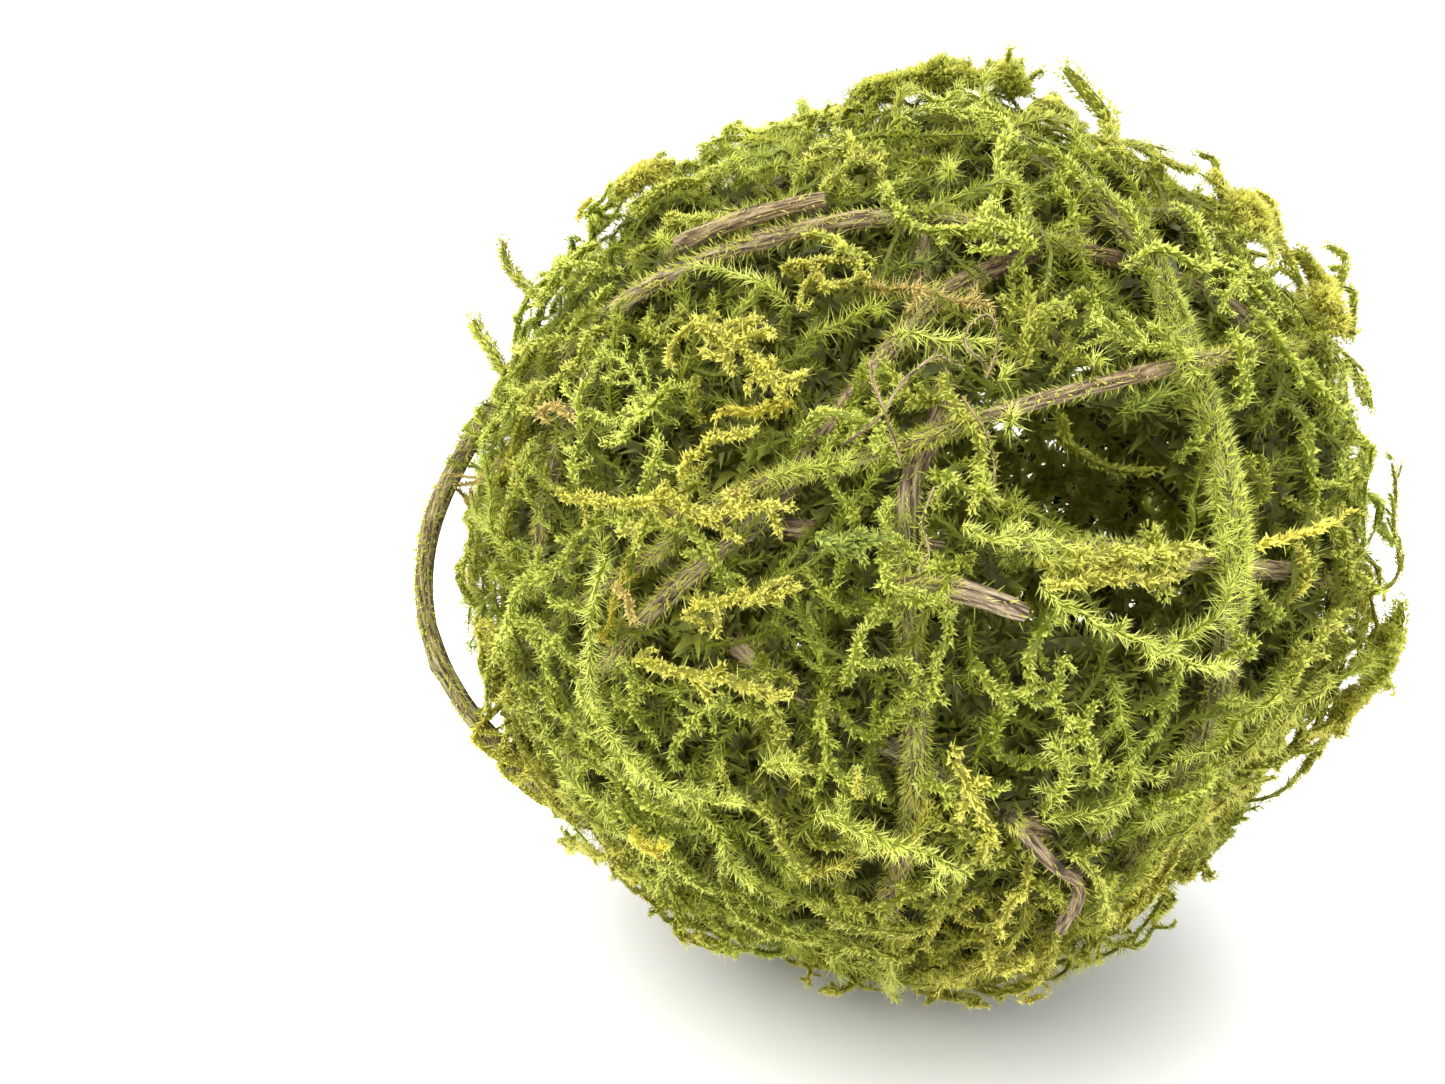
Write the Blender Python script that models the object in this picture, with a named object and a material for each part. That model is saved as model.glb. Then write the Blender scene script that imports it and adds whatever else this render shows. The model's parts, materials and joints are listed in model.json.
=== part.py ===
"""Moss orb: an open ball wound from thin vines, with sprays of feather moss lying over it.

Sizes are in metres and +Z is up. The orb rests on z = 0, on the spot where its moss is pressed flat, and
that spot is the origin. Places on the ball are given as a longitude and a latitude in degrees, seen from its
centre: longitude 0 faces -Y and longitude 90 faces +X.
"""

import math

import bmesh
import bpy
import numpy as np
from mathutils import Matrix, Vector

# Driving sizes of the ball
ORB_RADIUS = 0.100
PRESSED_FLAT = 0.003
CENTRE = np.array([0.0, 0.0, ORB_RADIUS - PRESSED_FLAT])
CLEARANCE = 0.0003
BED_CLEARANCE = 0.0007
WELD = 1e-6
SLANTED_UP = np.array([0.31, 0.22, 0.93])

# Where the ball bulges or is dented: the place, how far round it reaches in degrees, and its height
SWELLINGS = (
    ((50, -24), 17, -0.0105),
    ((55, -2), 12, 0.0050),
    ((58, 38), 20, 0.0035),
    ((-57, 45), 15, 0.0035),
    ((25, 70), 14, 0.0040),
    ((-16, -45), 14, -0.0040),
)

# The vines: centre lines, their steps, and how they are laid
FRAME_RADIUS = 0.0890
LAYER = 0.0014
VINE_STEP = 0.0200
VINE_TURNS = 1.07
WANDER = 0.0022
HEAVE = 0.0006
CROSSING_GAP = 0.0005
WOOD_END_SHARE = 0.7
WOOD_ROUNDNESS = 1
SETTLING_STEPS = 260
FIRM_STEPS = 140

# Vines by name: two places that each passes through, the turn at which it starts, its radius, its layer, and
# how far it is lifted between the two places, where it lies over the moss
VINES = {
    "vine_brow": ((-43, 34), (5, 47), 0.42, 0.0021, 1, 0.0050),
    "vine_window_head": ((11, 25), (29, 29), 0.36, 0.0016, 1, 0.0040),
    "vine_window_side": ((33, 37), (35, 3), 0.40, 0.0022, 1, 0.0045),
    "vine_window_sill": ((10, 13), (31, 10.5), 0.45, 0.0019, -1, 0.0025),
    "vine_front_upright": ((3, 21), (3, -20), 0.47, 0.0020, -1, 0.0035),
    "vine_front_slant": ((-3, 28.5), (-9.5, 22.5), 0.33, 0.0018, 1, 0),
    "vine_left_upright": ((-46, 30), (-50, -20), 0.38, 0.0022, -1, 0),
    "vine_low_front": ((-30, -24), (30, -36), 0.52, 0.0020, -1, 0),
    "vine_cheek": ((-35, 12), (40, -28), 0.44, 0.0021, -1, 0),
    "vine_right_upright": ((68, 20), (62, -25), 0.55, 0.0022, 1, 0),
}
LIFT_SPAN = math.radians(52)

# The one vine that has sprung away from the ball on its left side
LOOP = ((-69, 20), (-45, -40))
LOOP_RADIUS = 0.0023
LOOP_SPAN = (-0.13, 0.36)
LOOP_BULGE = 0.0171
LOOP_BULGE_AT = 0.065
LOOP_BULGE_HALF = 0.115

# Bare twigs caught in the moss: the places they pass, radius, and height over the ball's centre
TWIGS = {
    "twig_over_brow": (((-31, 41.5), (-22, 45), (-11, 47.5)), 0.0017, 0.0990),
    "twig_stub_front": (((0, 9.2), (6, 8.9), (11.5, 7)), 0.0017, 0.0985),
    "twig_hook_low": (((12, -13), (17, -19), (22, -24), (22.5, -32)), 0.0012, 0.0970),
}

# The window: the one place where the moss leaves the ball open
WINDOW_AT = (18.3, 18.4)
WINDOW_HALF_WIDTH = 0.0165
WINDOW_HALF_HEIGHT = 0.0125

# Moss sprays on the front: the middle of each, and a place that its stem points to
FRONT_SPRAYS = (
    ((18, 44), (-8, 41)),
    ((-9, 20), (-20, 6)),
    ((45, 17), (43, 40)),
    ((20, -8), (-8, 4)),
    ((-24, -23), (-42, 2)),
    ((-48, 14), (-38, 34)),
    ((10, -44), (34, -32)),
)

# All the moss sprays
SPRAYS = 20
SPREADING_STEPS = 300
WINDOW_SHARE = 0.5
SPRAY_SEED = 20
MOSS_RADIUS = 0.0960
SHOOT_GAP = 0.0006
PRESSING_BLOCK = 0.3

# What a spray is made of: a creeping stem, shoots, and sprigs that stand on them. A section is a half width
# and a half height, and its shares are given along half a stem and along a shoot.
RIDGED_SIDES = 3
SECTION_REACH = 0.93
STEM_SECTION = (0.0058, 0.0040)
STEM_STEP = 0.0115
STEM_HEIGHT = -0.0046
RESTING_STEM_HEIGHT = -0.0008
STEM_TURN = math.radians(25)
STEM_SHARES = (1.0, 0.95, 0.6)
SHOOT_SECTION = (0.0095, 0.0036)
SHOOT_STEP = 0.0125
SHOOT_SHARES = ((0, 0.4, 0.75, 1), (0.80, 1.0, 0.85, 0))
SHOOT_ARCH = 0.14
SHORTENED = (1.0, 0.75, 0.5)
SHORTEST_SHOOT = 0.007
THINNEST_SHARE = 0.30
THINNEST_STEM = 0.65
TIP_SHARE = 0.15
FULL_WIDTH_LENGTH = 0.020
SAMPLE_STEP = 0.002
SPRIG_LENGTH = (0.0055, 0.0078)
SPRIG_RADIUS = 0.0012
SPRIG_SHARE = 0.35

# How the shoots fill the ball: places spread over it, and how far from any shoot a place may stay
TARGETS = 1500
TARGET_SHAKE = 0.02
FILL_GAP = 0.0095
PREFER_MIDDLE = 0.45
ROOTS_TRIED = 6
ROOT_WIDTH = 0.0022
WOOD = -1
WOOD_SHOWS = 0.0966

# Shoots that stand out of the outline: the place, and how far past the ball they reach
LONG_SHOOTS = (
    ((53.6, 69.5), 0.013),
    ((42.8, 74.8), 0.008),
    ((-68.4, 28.5), 0.006),
    ((-68.1, 37.4), 0.008),
    ((60.5, -7.4), 0.009),
    ((44.7, -40.3), 0.007),
    ((38.3, -16.0), 0.006),
    ((-120, 35), 0.009),
    ((150, 20), 0.008),
    ((170, 58), 0.009),
    ((110, -12), 0.008),
)
LONG_SHOOT_SHARES = (0.34, 0.26, 0.14)
LONG_SHOOT_ARCH = 0.0012


def direction(longitude, latitude):
    """Unit vector from the ball's centre towards a place on it."""
    lon, lat = math.radians(longitude), math.radians(latitude)
    return np.array([math.sin(lon) * math.cos(lat), -math.cos(lon) * math.cos(lat), math.sin(lat)])


def unit(vector):
    """The vector, or each row of an array, at length one."""
    return vector / np.linalg.norm(vector, axis=-1, keepdims=True)


def shaped(points):
    """Points of a true ball moved in or out to where the bulging and dented ball has them."""
    out = unit(points)
    swell = np.zeros(out.shape[:-1])
    for place, width, height in SWELLINGS:
        away = np.degrees(np.arccos(np.clip(out @ direction(*place), -1, 1)))
        swell = swell + height * np.exp(-((away / width) ** 2))
    return points * (1 + swell / ORB_RADIUS)[..., None]


def great_circle(first, second):
    """The start, quarter and axis directions of the great circle through two places."""
    start = direction(*first)
    axis = unit(np.cross(start, direction(*second)))
    return start, np.cross(axis, start), axis


def wound_vine(places, start_turn, layer, lift, index):
    """Centre line of a vine wound once round the ball, wandering a little, with its two ends side by side."""
    middle = math.acos(direction(*places[0]) @ direction(*places[1])) / 2
    u, v, axis = great_circle(*places)
    count = round(2 * math.pi * FRAME_RADIUS * VINE_TURNS / VINE_STEP)
    share = np.linspace(0, 1, count + 1)
    angle = 2 * math.pi * (start_turn + share * VINE_TURNS)
    lean = 0.0036 * (2 * share - 1) ** 9
    sideways = WANDER * np.sin(2 * angle + index) * np.sin(angle / 2) ** 2 + lean
    off = np.abs((angle - middle + math.pi) % (2 * math.pi) - math.pi) / LIFT_SPAN
    radius = FRAME_RADIUS + layer * LAYER + HEAVE * np.sin(3 * angle + 2.1 * index)
    radius = radius + lift * np.cos(np.clip(off, 0, 1) * math.pi / 2) ** 2
    around = np.cos(angle)[:, None] * u + np.sin(angle)[:, None] * v
    return shaped(radius[:, None] * around + sideways[:, None] * axis)


def sprung_loop():
    """Centre line of the vine that stands off the ball on the left and tucks under the moss at both ends."""
    u, v, _ = great_circle(*LOOP)
    turns = LOOP_SPAN[1] - LOOP_SPAN[0]
    count = round(2 * math.pi * FRAME_RADIUS * turns / (0.8 * VINE_STEP))
    turn = np.linspace(*LOOP_SPAN, count + 1)
    off = np.clip(np.abs(turn - LOOP_BULGE_AT) / LOOP_BULGE_HALF, 0, 1)
    radius = FRAME_RADIUS + LAYER + LOOP_BULGE * np.cos(off * math.pi / 2) ** 2
    angle = 2 * math.pi * turn
    return radius[:, None] * (np.cos(angle)[:, None] * u + np.sin(angle)[:, None] * v)


def closest(gap, r, s):
    """Shares along segments p + a r and q + b s at which each pair of them is closest, with gap = p - q."""
    rr, ss, rs = (np.sum(a * b, 1) for a, b in ((r, r), (s, s), (r, s)))
    rg, sg = np.sum(r * gap, 1), np.sum(s * gap, 1)
    flat = rr * ss - rs * rs
    along = np.clip((rs * sg - rg * ss) / np.where(flat > 1e-14, flat, 1), 0, 1)
    across = np.clip((rs * along + sg) / ss, 0, 1)
    along = np.clip((rs * across - rg) / rr, 0, 1)
    return along, across


def settle(paths, radii):
    """Moves the vines in or out where they cross, as winding them tight would, until none touches another."""
    points = np.concatenate(paths)
    owner = np.repeat(np.arange(len(paths)), [len(path) for path in paths])
    nominal = np.linalg.norm(points, axis=1)
    starts = np.flatnonzero(owner[:-1] == owner[1:])
    i, j = (starts[pick] for pick in np.triu_indices(len(starts), 1))
    middles = points[:-1] + np.diff(points, axis=0) / 2
    apart = (owner[i] != owner[j]) | (j - i > 4)
    close = np.linalg.norm(middles[i] - middles[j], axis=1) < 2 * VINE_STEP
    i, j = i[apart & close], j[apart & close]
    need = np.array(radii)[owner[i]] + np.array(radii)[owner[j]] + CROSSING_GAP
    inner = np.flatnonzero(owner[:-2] == owner[2:])
    for step in range(SETTLING_STEPS + FIRM_STEPS):
        if step < SETTLING_STEPS:
            lift = np.linalg.norm(points, axis=1) - nominal
            smooth = lift.copy()
            smooth[inner + 1] = (lift[inner] + 2 * lift[inner + 1] + lift[inner + 2]) / 4
            points = points + (0.25 * (smooth - lift) - 0.03 * lift)[:, None] * unit(points)
        r, s = points[i + 1] - points[i], points[j + 1] - points[j]
        along, across = closest(points[i] - points[j], r, s)
        gap = points[i] - points[j] + along[:, None] * r - across[:, None] * s
        length = np.linalg.norm(gap, axis=1)
        push = 0.3 * (np.clip(need - length, 0, None) / length)[:, None] * gap
        for index, amount in ((i, 1 - along), (i + 1, along), (j, across - 1), (j + 1, -across)):
            np.add.at(points, index, amount[:, None] * push)
    return np.split(points, np.cumsum([len(path) for path in paths])[:-1])


def clear_scene():
    """Removes whatever the file opened with."""
    for obj in list(bpy.data.objects):
        bpy.data.objects.remove(obj)


def collection(name):
    """A new collection in the scene."""
    made = bpy.data.collections.new(name)
    bpy.context.scene.collection.children.link(made)
    return made


def material(name, colour, roughness):
    """A plain Principled material."""
    made = bpy.data.materials.new(name)
    made.use_nodes = True
    shader = made.node_tree.nodes["Principled BSDF"]
    shader.inputs["Base Color"].default_value = (*colour, 1)
    shader.inputs["Roughness"].default_value = roughness
    shader.inputs["Metallic"].default_value = 0
    return made


def new_object(name, shape, where):
    """An object from a bmesh, which it frees."""
    mesh = bpy.data.meshes.new(name)
    bmesh.ops.recalc_face_normals(shape, faces=shape.faces)
    shape.to_mesh(mesh)
    shape.free()
    obj = bpy.data.objects.new(name, mesh)
    where.objects.link(obj)
    return obj


def path_curve(name, points, shares, where):
    """A curve object along points, with a share of its section's size at each point, and closed ends."""
    curve = bpy.data.curves.new(name, "CURVE")
    curve.dimensions = "3D"
    curve.use_fill_caps = True
    spline = curve.splines.new("POLY")
    spline.points.add(len(points) - 1)
    for point, place, share in zip(spline.points, points, shares):
        point.co = (*place, 1)
        point.radius = share
    obj = bpy.data.objects.new(name, curve)
    where.objects.link(obj)
    return obj


def wood_curve(name, points, radius, where):
    """A vine or a twig: a round bar that thins at its two ends."""
    shares = np.ones(len(points))
    shares[[0, -1]] = WOOD_END_SHARE
    obj = path_curve(name, points + CENTRE, shares, where)
    obj.data.bevel_depth = radius
    obj.data.bevel_resolution = WOOD_ROUNDNESS
    return obj


def ridged_section(name, half_width, half_height, where):
    """A ridged section for the creeping shoots, flat below, as a curve to bevel with."""
    curve = bpy.data.curves.new(name, "CURVE")
    curve.dimensions = "2D"
    spline = curve.splines.new("POLY")
    spline.points.add(RIDGED_SIDES - 1)
    spline.use_cyclic_u = True
    for turn, point in enumerate(spline.points):
        angle = 2 * math.pi * turn / RIDGED_SIDES
        point.co = (-half_width * math.sin(angle), half_height * math.cos(angle), 0, 1)
    obj = bpy.data.objects.new(name, curve)
    obj.hide_render = True
    obj.display_type = "WIRE"
    where.objects.link(obj)
    return obj


def as_mesh(obj, where):
    """A closed mesh object in place of a curve object. A last share of 0 closes it in a point."""
    graph = bpy.context.evaluated_depsgraph_get()
    mesh = bpy.data.meshes.new_from_object(obj.evaluated_get(graph))
    mesh.shade_flat()
    shape = bmesh.new()
    shape.from_mesh(mesh)
    bmesh.ops.remove_doubles(shape, verts=shape.verts, dist=WELD)
    bmesh.ops.recalc_face_normals(shape, faces=shape.faces)
    shape.to_mesh(mesh)
    shape.free()
    made = bpy.data.objects.new(obj.name, mesh)
    made.matrix_world = obj.matrix_world
    where.objects.link(made)
    name = obj.name
    bpy.data.objects.remove(obj)
    made.name = name
    return made


def bevel_with(obj, profile, where):
    """Gives a flat curve its section, ridge up, and makes it a mesh."""
    obj.data.twist_mode = "Z_UP"
    obj.data.bevel_mode = "OBJECT"
    obj.data.bevel_object = profile
    return as_mesh(obj, where)


def change_with(obj, operation, others):
    """Joins a whole collection to an object, or cuts it out of the object."""
    change = obj.modifiers.new(operation.title(), "BOOLEAN")
    change.operation = operation
    change.operand_type = "COLLECTION"
    change.collection = others
    change.solver = "MANIFOLD"
    graph = bpy.context.evaluated_depsgraph_get()
    mesh = bpy.data.meshes.new_from_object(obj.evaluated_get(graph))
    obj.modifiers.remove(change)
    obj.data = mesh


def keep_largest(mesh):
    """Welds corners that the cuts left in one place, and drops the scraps that they cut off."""
    shape = bmesh.new()
    shape.from_mesh(mesh)
    bmesh.ops.remove_doubles(shape, verts=shape.verts, dist=WELD)
    bmesh.ops.triangulate(shape, faces=shape.faces)
    left, bodies = set(shape.faces), []
    while left:
        body, rim = [], [left.pop()]
        while rim:
            face = rim.pop()
            body.append(face)
            pairs = [edge.link_faces for edge in face.edges if len(edge.link_faces) == 2]
            linked = {neighbour for pair in pairs for neighbour in pair} & left
            left -= linked
            rim.extend(linked)
        bodies.append(body)
    bodies.sort(key=len)
    for body in bodies[:-1]:
        bmesh.ops.delete(shape, geom=body, context="FACES")
    shape.to_mesh(mesh)
    shape.free()


def make_wood(paths, radii, parts, cutters, bark):
    """Each vine or twig as an object, with a fatter and longer copy that cuts its bed out of the moss."""
    for name, points in paths.items():
        wood = wood_curve(name, points, radii[name], parts)
        wood.data.materials.append(bark)
        onward = 2 * CLEARANCE * unit(points[[0, -1]] - points[[1, -2]])
        longer = np.concatenate([points[:1] + onward[:1], points[1:-1], points[-1:] + onward[1:]])
        bed = as_mesh(wood_curve(name + "_bed", longer, radii[name] + BED_CLEARANCE, cutters), cutters)
        bed.hide_render = True
        bed.display_type = "WIRE"


def spread_sprays(rng):
    """Middles of the sprays: those on the front, one under the ball, and the rest spread evenly."""
    fixed = np.array([direction(*middle) for middle, _ in FRONT_SPRAYS] + [np.array([0.0, 0.0, -1.0])])
    window = direction(*WINDOW_AT)
    middles = unit(rng.normal(size=(SPRAYS - len(fixed), 3)))
    weights = np.array([1.0] * SPRAYS + [WINDOW_SHARE])
    for _ in range(SPREADING_STEPS):
        others = np.concatenate([middles, fixed, window[None]])
        apart = middles[:, None] - others[None]
        square = np.sum(apart**2, -1)
        push = np.where(square < 1e-9, 0, weights / np.maximum(square, 1e-9) ** 1.5)
        move = np.sum(apart * push[..., None], 1)
        middles = unit(middles + 0.006 * move / (1 + 0.1 * np.linalg.norm(move, axis=1, keepdims=True)))
    return np.concatenate([fixed, middles])


def outside_window(places):
    """How far each place lies outside the window's oval, measured along the ball."""
    out = direction(*WINDOW_AT)
    right = unit(np.cross(out, [0.0, 0.0, -1.0]))
    up = np.cross(right, out)
    oval = np.hypot(places @ right / WINDOW_HALF_WIDTH, places @ up / WINDOW_HALF_HEIGHT)
    return np.where(places @ out > 0, (oval - 1) * WINDOW_HALF_HEIGHT, ORB_RADIUS)


def sampled(points, shares):
    """Points along a line at short steps, the share at each, and how far along the line each lies."""
    length = np.concatenate([[0], np.cumsum(np.linalg.norm(np.diff(points, axis=0), axis=1))])
    at = np.linspace(0, length[-1], max(2, round(length[-1] / SAMPLE_STEP)))
    return np.stack([np.interp(at, length, row) for row in points.T], 1), np.interp(at, length, shares), at


def keep_off_wood(moss, paths, radii):
    """Counts the vines that lie up among the shoots as taken, so that the shoots part for them."""
    for name in [name for name in paths if name not in TWIGS]:
        line, _, _ = sampled(paths[name], np.ones(len(paths[name])))
        shows = np.linalg.norm(shaped(unit(line)), axis=1) * WOOD_SHOWS
        high = line[np.linalg.norm(line, axis=1) + radii[name] > shows]
        moss.add(high, np.full(len(high), radii[name]), WOOD, np.full(len(high), ORB_RADIUS))


class Moss:
    """All shoots laid so far, as places from the ball's centre with a half width and a spray's number."""

    def __init__(self):
        self.places, self.widths = np.zeros((0, 3)), np.zeros(0)
        self.owners, self.ways = np.zeros(0, int), np.zeros(0)

    def add(self, places, widths, owner, ways):
        """Remembers a shoot, with each place's way along the shoots from its spray's middle."""
        self.places = np.concatenate([self.places, places])
        self.widths = np.concatenate([self.widths, widths])
        self.owners = np.concatenate([self.owners, np.full(len(places), owner)])
        self.ways = np.concatenate([self.ways, ways])

    def spare(self, places, owner):
        """How far each place lies from the window and from the edge of every other spray's shoots."""
        free = outside_window(places)
        others = self.owners != owner
        if others.any():
            away = np.linalg.norm(places[:, None] - self.places[others], axis=2) - self.widths[others]
            free = np.minimum(free, away.min(axis=1))
        return free - SHOOT_GAP

    def roots(self, target):
        """The best place of each spray for a shoot to a target to branch off, the best sprays first."""
        cost = np.linalg.norm(self.places - target, axis=1) + PREFER_MIDDLE * self.ways
        cost[self.widths < ROOT_WIDTH] += ORB_RADIUS
        best = [np.flatnonzero(self.owners == owner)[np.argmin(cost[self.owners == owner])]
                for owner in np.unique(self.owners) if owner != WOOD]
        return sorted(best, key=cost.__getitem__)[:ROOTS_TRIED]


class Spray:
    """One spray of moss: a stem and the shoots that branch off it.

    It is laid out flat round its middle, as places (a, b) with a height, and is then wrapped onto the ball.
    """

    def __init__(self, number, middle, moss, rng, sections, parts):
        self.number, self.out, self.moss, self.rng, self.sections = number, middle, moss, rng, sections
        self.right = unit(np.cross(SLANTED_UP, middle))
        self.up = np.cross(middle, self.right)
        self.name, self.parts = f"moss_spray_{number + 1:02d}", parts
        self.pieces = collection(f"pieces_of_spray_{number + 1:02d}")
        self.stem, self.count, self.perches = None, 0, []

    def wrap(self, flat):
        """Places from the ball's centre for rows of a, b and height."""
        far = np.maximum(np.hypot(flat[:, 0], flat[:, 1]), 1e-9)[:, None]
        level = (flat[:, :1] * self.right + flat[:, 1:2] * self.up) / far
        out = np.cos(far / MOSS_RADIUS) * self.out + np.sin(far / MOSS_RADIUS) * level
        return shaped(MOSS_RADIUS * out) + flat[:, 2:] * out

    def unwrap(self, place):
        """The a, b and height of one place given from the ball's centre."""
        out = unit(place)
        level = np.array([out @ self.right, out @ self.up])
        far = MOSS_RADIUS * math.acos(max(-1.0, min(1.0, out @ self.out)))
        height = np.linalg.norm(place) - np.linalg.norm(shaped(MOSS_RADIUS * out))
        return np.array([*(far * level / max(np.linalg.norm(level), 1e-9)), height])

    def lay(self, points, shares, section, way, thinnest=THINNEST_SHARE):
        """Lays a shoot, thinner where another spray is close. Returns its curve, or None without room."""
        line, thick, at = sampled(points, shares)
        places, reach = self.wrap(line), SECTION_REACH * section[0]
        fit = min(1, np.min(self.moss.spare(places, self.number) / (reach * np.maximum(thick, TIP_SHARE))))
        if fit < thinnest:
            return None
        self.moss.add(places, fit * thick * reach, self.number, way + at)
        self.count += 1
        return path_curve(f"shoot_{self.number}_{self.count}", points, fit * shares, self.pieces)

    def lay_stem(self, heading):
        """The stem, which creeps both ways from the middle, turned until it clears the other stems."""
        bend, wave = self.rng.uniform(-0.08, 0.08), self.rng.uniform(0.10, 0.24)
        curve = None
        while curve is None:
            line = self.stem_line(heading, bend, wave)
            shares = np.array([*STEM_SHARES[:0:-1], *STEM_SHARES])
            curve = self.lay(line, shares, STEM_SECTION, 0, THINNEST_STEM)
            heading += STEM_TURN
        self.stem = bevel_with(curve, self.sections["stem"], self.parts)
        self.stem.name = self.name

    def stem_line(self, heading, bend, wave):
        """Flat points of a stem by its heading at the middle, its bend, and its waves.

        The stem of the spray under the ball is raised at its middle, so that the ball rests on it.
        """
        halves = []
        for way in (0, math.pi):
            turns = heading + way + np.cumsum([bend + wave * (-1) ** k for k in range(len(STEM_SHARES) - 1)])
            steps = STEM_STEP * np.stack([np.cos(turns), np.sin(turns), 0 * turns], 1)
            halves.append(np.concatenate([np.zeros((1, 3)), np.cumsum(steps, axis=0)]) + [0, 0, STEM_HEIGHT])
        line = np.concatenate([halves[1][:0:-1], halves[0]])
        if self.number == len(FRONT_SPRAYS):
            line[len(line) // 2, 2] = RESTING_STEM_HEIGHT
        return line

    def grow(self, root, way, target):
        """A pointed shoot from an older one towards a target. Returns whether there was room for it."""
        root, target = self.unwrap(root) * [1, 1, 0], self.unwrap(target)
        arch = self.rng.uniform(-SHOOT_ARCH, SHOOT_ARCH)
        for part in SHORTENED:
            tip = root + part * (target - root)
            length = np.linalg.norm(tip - root)
            if length < SHORTEST_SHOOT:
                break
            along = np.linspace(0, 1, max(3, round(length / SHOOT_STEP) + 1))
            side = np.cross(tip - root, [0, 0, 1])
            points = root + along[:, None] * (tip - root) + arch * np.sin(math.pi * along)[:, None] * side
            shares = np.interp(along, *SHOOT_SHARES) * min(1, 0.35 + 0.65 * length / FULL_WIDTH_LENGTH)
            curve = self.lay(points, shares, SHOOT_SECTION, way)
            if curve:
                bevel_with(curve, self.sections["shoot"], self.pieces)
                self.perches.append(points[1])
                return True
        return False

    def stand_sprig(self, root):
        """A pointed sprig that stands up out of a shoot, leaning some way, where it clears other sprays."""
        turn, lean = self.rng.uniform(0, 2 * math.pi), self.rng.uniform(0.2, 0.9)
        length = self.rng.uniform(*SPRIG_LENGTH)
        pointing = Vector((lean * math.cos(turn), lean * math.sin(turn), 1)).normalized()
        places = self.wrap(root + np.linspace(0, length, 5)[:, None] * np.array(pointing))
        if np.min(self.moss.spare(places, self.number)) < SPRIG_RADIUS:
            return
        self.moss.add(places, np.full(5, SPRIG_RADIUS), self.number, np.full(5, ORB_RADIUS))
        self.count += 1
        shape = bmesh.new()
        bmesh.ops.create_cone(shape, cap_ends=True, segments=3, radius1=SPRIG_RADIUS, radius2=0, depth=length)
        place = Matrix.Translation(Vector(root) + pointing * length / 2)
        lay = place @ pointing.to_track_quat("Z", "Y").to_matrix().to_4x4()
        bmesh.ops.transform(shape, matrix=lay, verts=shape.verts)
        new_object(f"sprig_{self.number}_{self.count}", shape, self.pieces)

    def finish(self, cutters, green):
        """Fuses the spray, wraps it onto the ball, and clears the beds of the wood and the table."""
        change_with(self.stem, "UNION", self.pieces)
        for piece in list(self.pieces.objects):
            bpy.data.objects.remove(piece)
        flat = np.array([vertex.co for vertex in self.stem.data.vertices])
        for vertex, place in zip(self.stem.data.vertices, self.wrap(flat) + CENTRE):
            vertex.co = place
        change_with(self.stem, "DIFFERENCE", cutters)
        keep_largest(self.stem.data)
        self.stem.data.materials.clear()
        self.stem.data.materials.append(green)


def fill_ball(sprays, moss, rng):
    """Grows shoots towards the emptiest place of the ball in turn, until none is far from a shoot."""
    k = np.arange(TARGETS)
    height, turn = 1 - (2 * k + 1) / TARGETS, k * math.pi * (3 - math.sqrt(5))
    level = np.sqrt(1 - height**2)
    even = np.stack([level * np.cos(turn), level * np.sin(turn), height], 1)
    targets = shaped(MOSS_RADIUS * unit(even + rng.normal(0, TARGET_SHAKE, (TARGETS, 3))))
    targets = targets[outside_window(targets) > SHOOT_GAP]
    shoots = moss.places[moss.owners != WOOD]
    gaps = np.min(np.linalg.norm(targets[:, None] - shoots, axis=2), axis=1)
    while gaps.max() > FILL_GAP:
        emptiest, laid = np.argmax(gaps), len(moss.places)
        target = targets[emptiest]
        for root in moss.roots(target):
            if sprays[moss.owners[root]].grow(moss.places[root], moss.ways[root], target):
                new = np.linalg.norm(targets[:, None] - moss.places[laid:], axis=2)
                gaps = np.minimum(gaps, new.min(axis=1))
                break
        else:
            gaps[emptiest] = 0


def add_long_shoots(sprays, moss):
    """The shoots that stand out of the outline, each from the nearest older shoot."""
    for place, reach in LONG_SHOOTS:
        out = direction(*place)
        tip = shaped(out * ORB_RADIUS) + out * reach
        unfit = (moss.widths < ROOT_WIDTH) | (moss.ways == ORB_RADIUS)
        nearest = np.argmin(np.linalg.norm(moss.places - tip, axis=1) + unfit * ORB_RADIUS)
        spray = sprays[moss.owners[nearest]]
        root, tip = spray.unwrap(moss.places[nearest]), spray.unwrap(tip)
        path = np.array([root, (root + tip) / 2 + [0, 0, LONG_SHOOT_ARCH], tip])
        curve = spray.lay(path, np.array(LONG_SHOOT_SHARES), SHOOT_SECTION, ORB_RADIUS)
        if curve:
            bevel_with(curve, spray.sections["shoot"], spray.pieces)


def pressing_block(cutters):
    """The table as a cutter: it takes off what would reach below the orb's resting spot."""
    shape = bmesh.new()
    bmesh.ops.create_cube(shape, size=PRESSING_BLOCK)
    bmesh.ops.translate(shape, vec=(0, 0, -PRESSING_BLOCK / 2), verts=shape.verts)
    block = new_object("pressing_block", shape, cutters)
    block.hide_render = True
    block.display_type = "WIRE"


def wood_paths():
    """Centre lines and radii of all vines and twigs, by name, measured from the ball's centre."""
    radii, paths = {}, []
    for name, (first, second, turn, radius, layer, lift) in VINES.items():
        paths.append(wound_vine((first, second), turn, layer, lift, len(paths)))
        radii[name] = radius
    radii["vine_sprung_loop"] = LOOP_RADIUS
    found = dict(zip(radii, settle([*paths, sprung_loop()], list(radii.values()))))
    for name, (places, radius, height) in TWIGS.items():
        found[name] = shaped(np.array([direction(*place) * height for place in places]))
        radii[name] = radius
    return found, radii


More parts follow.
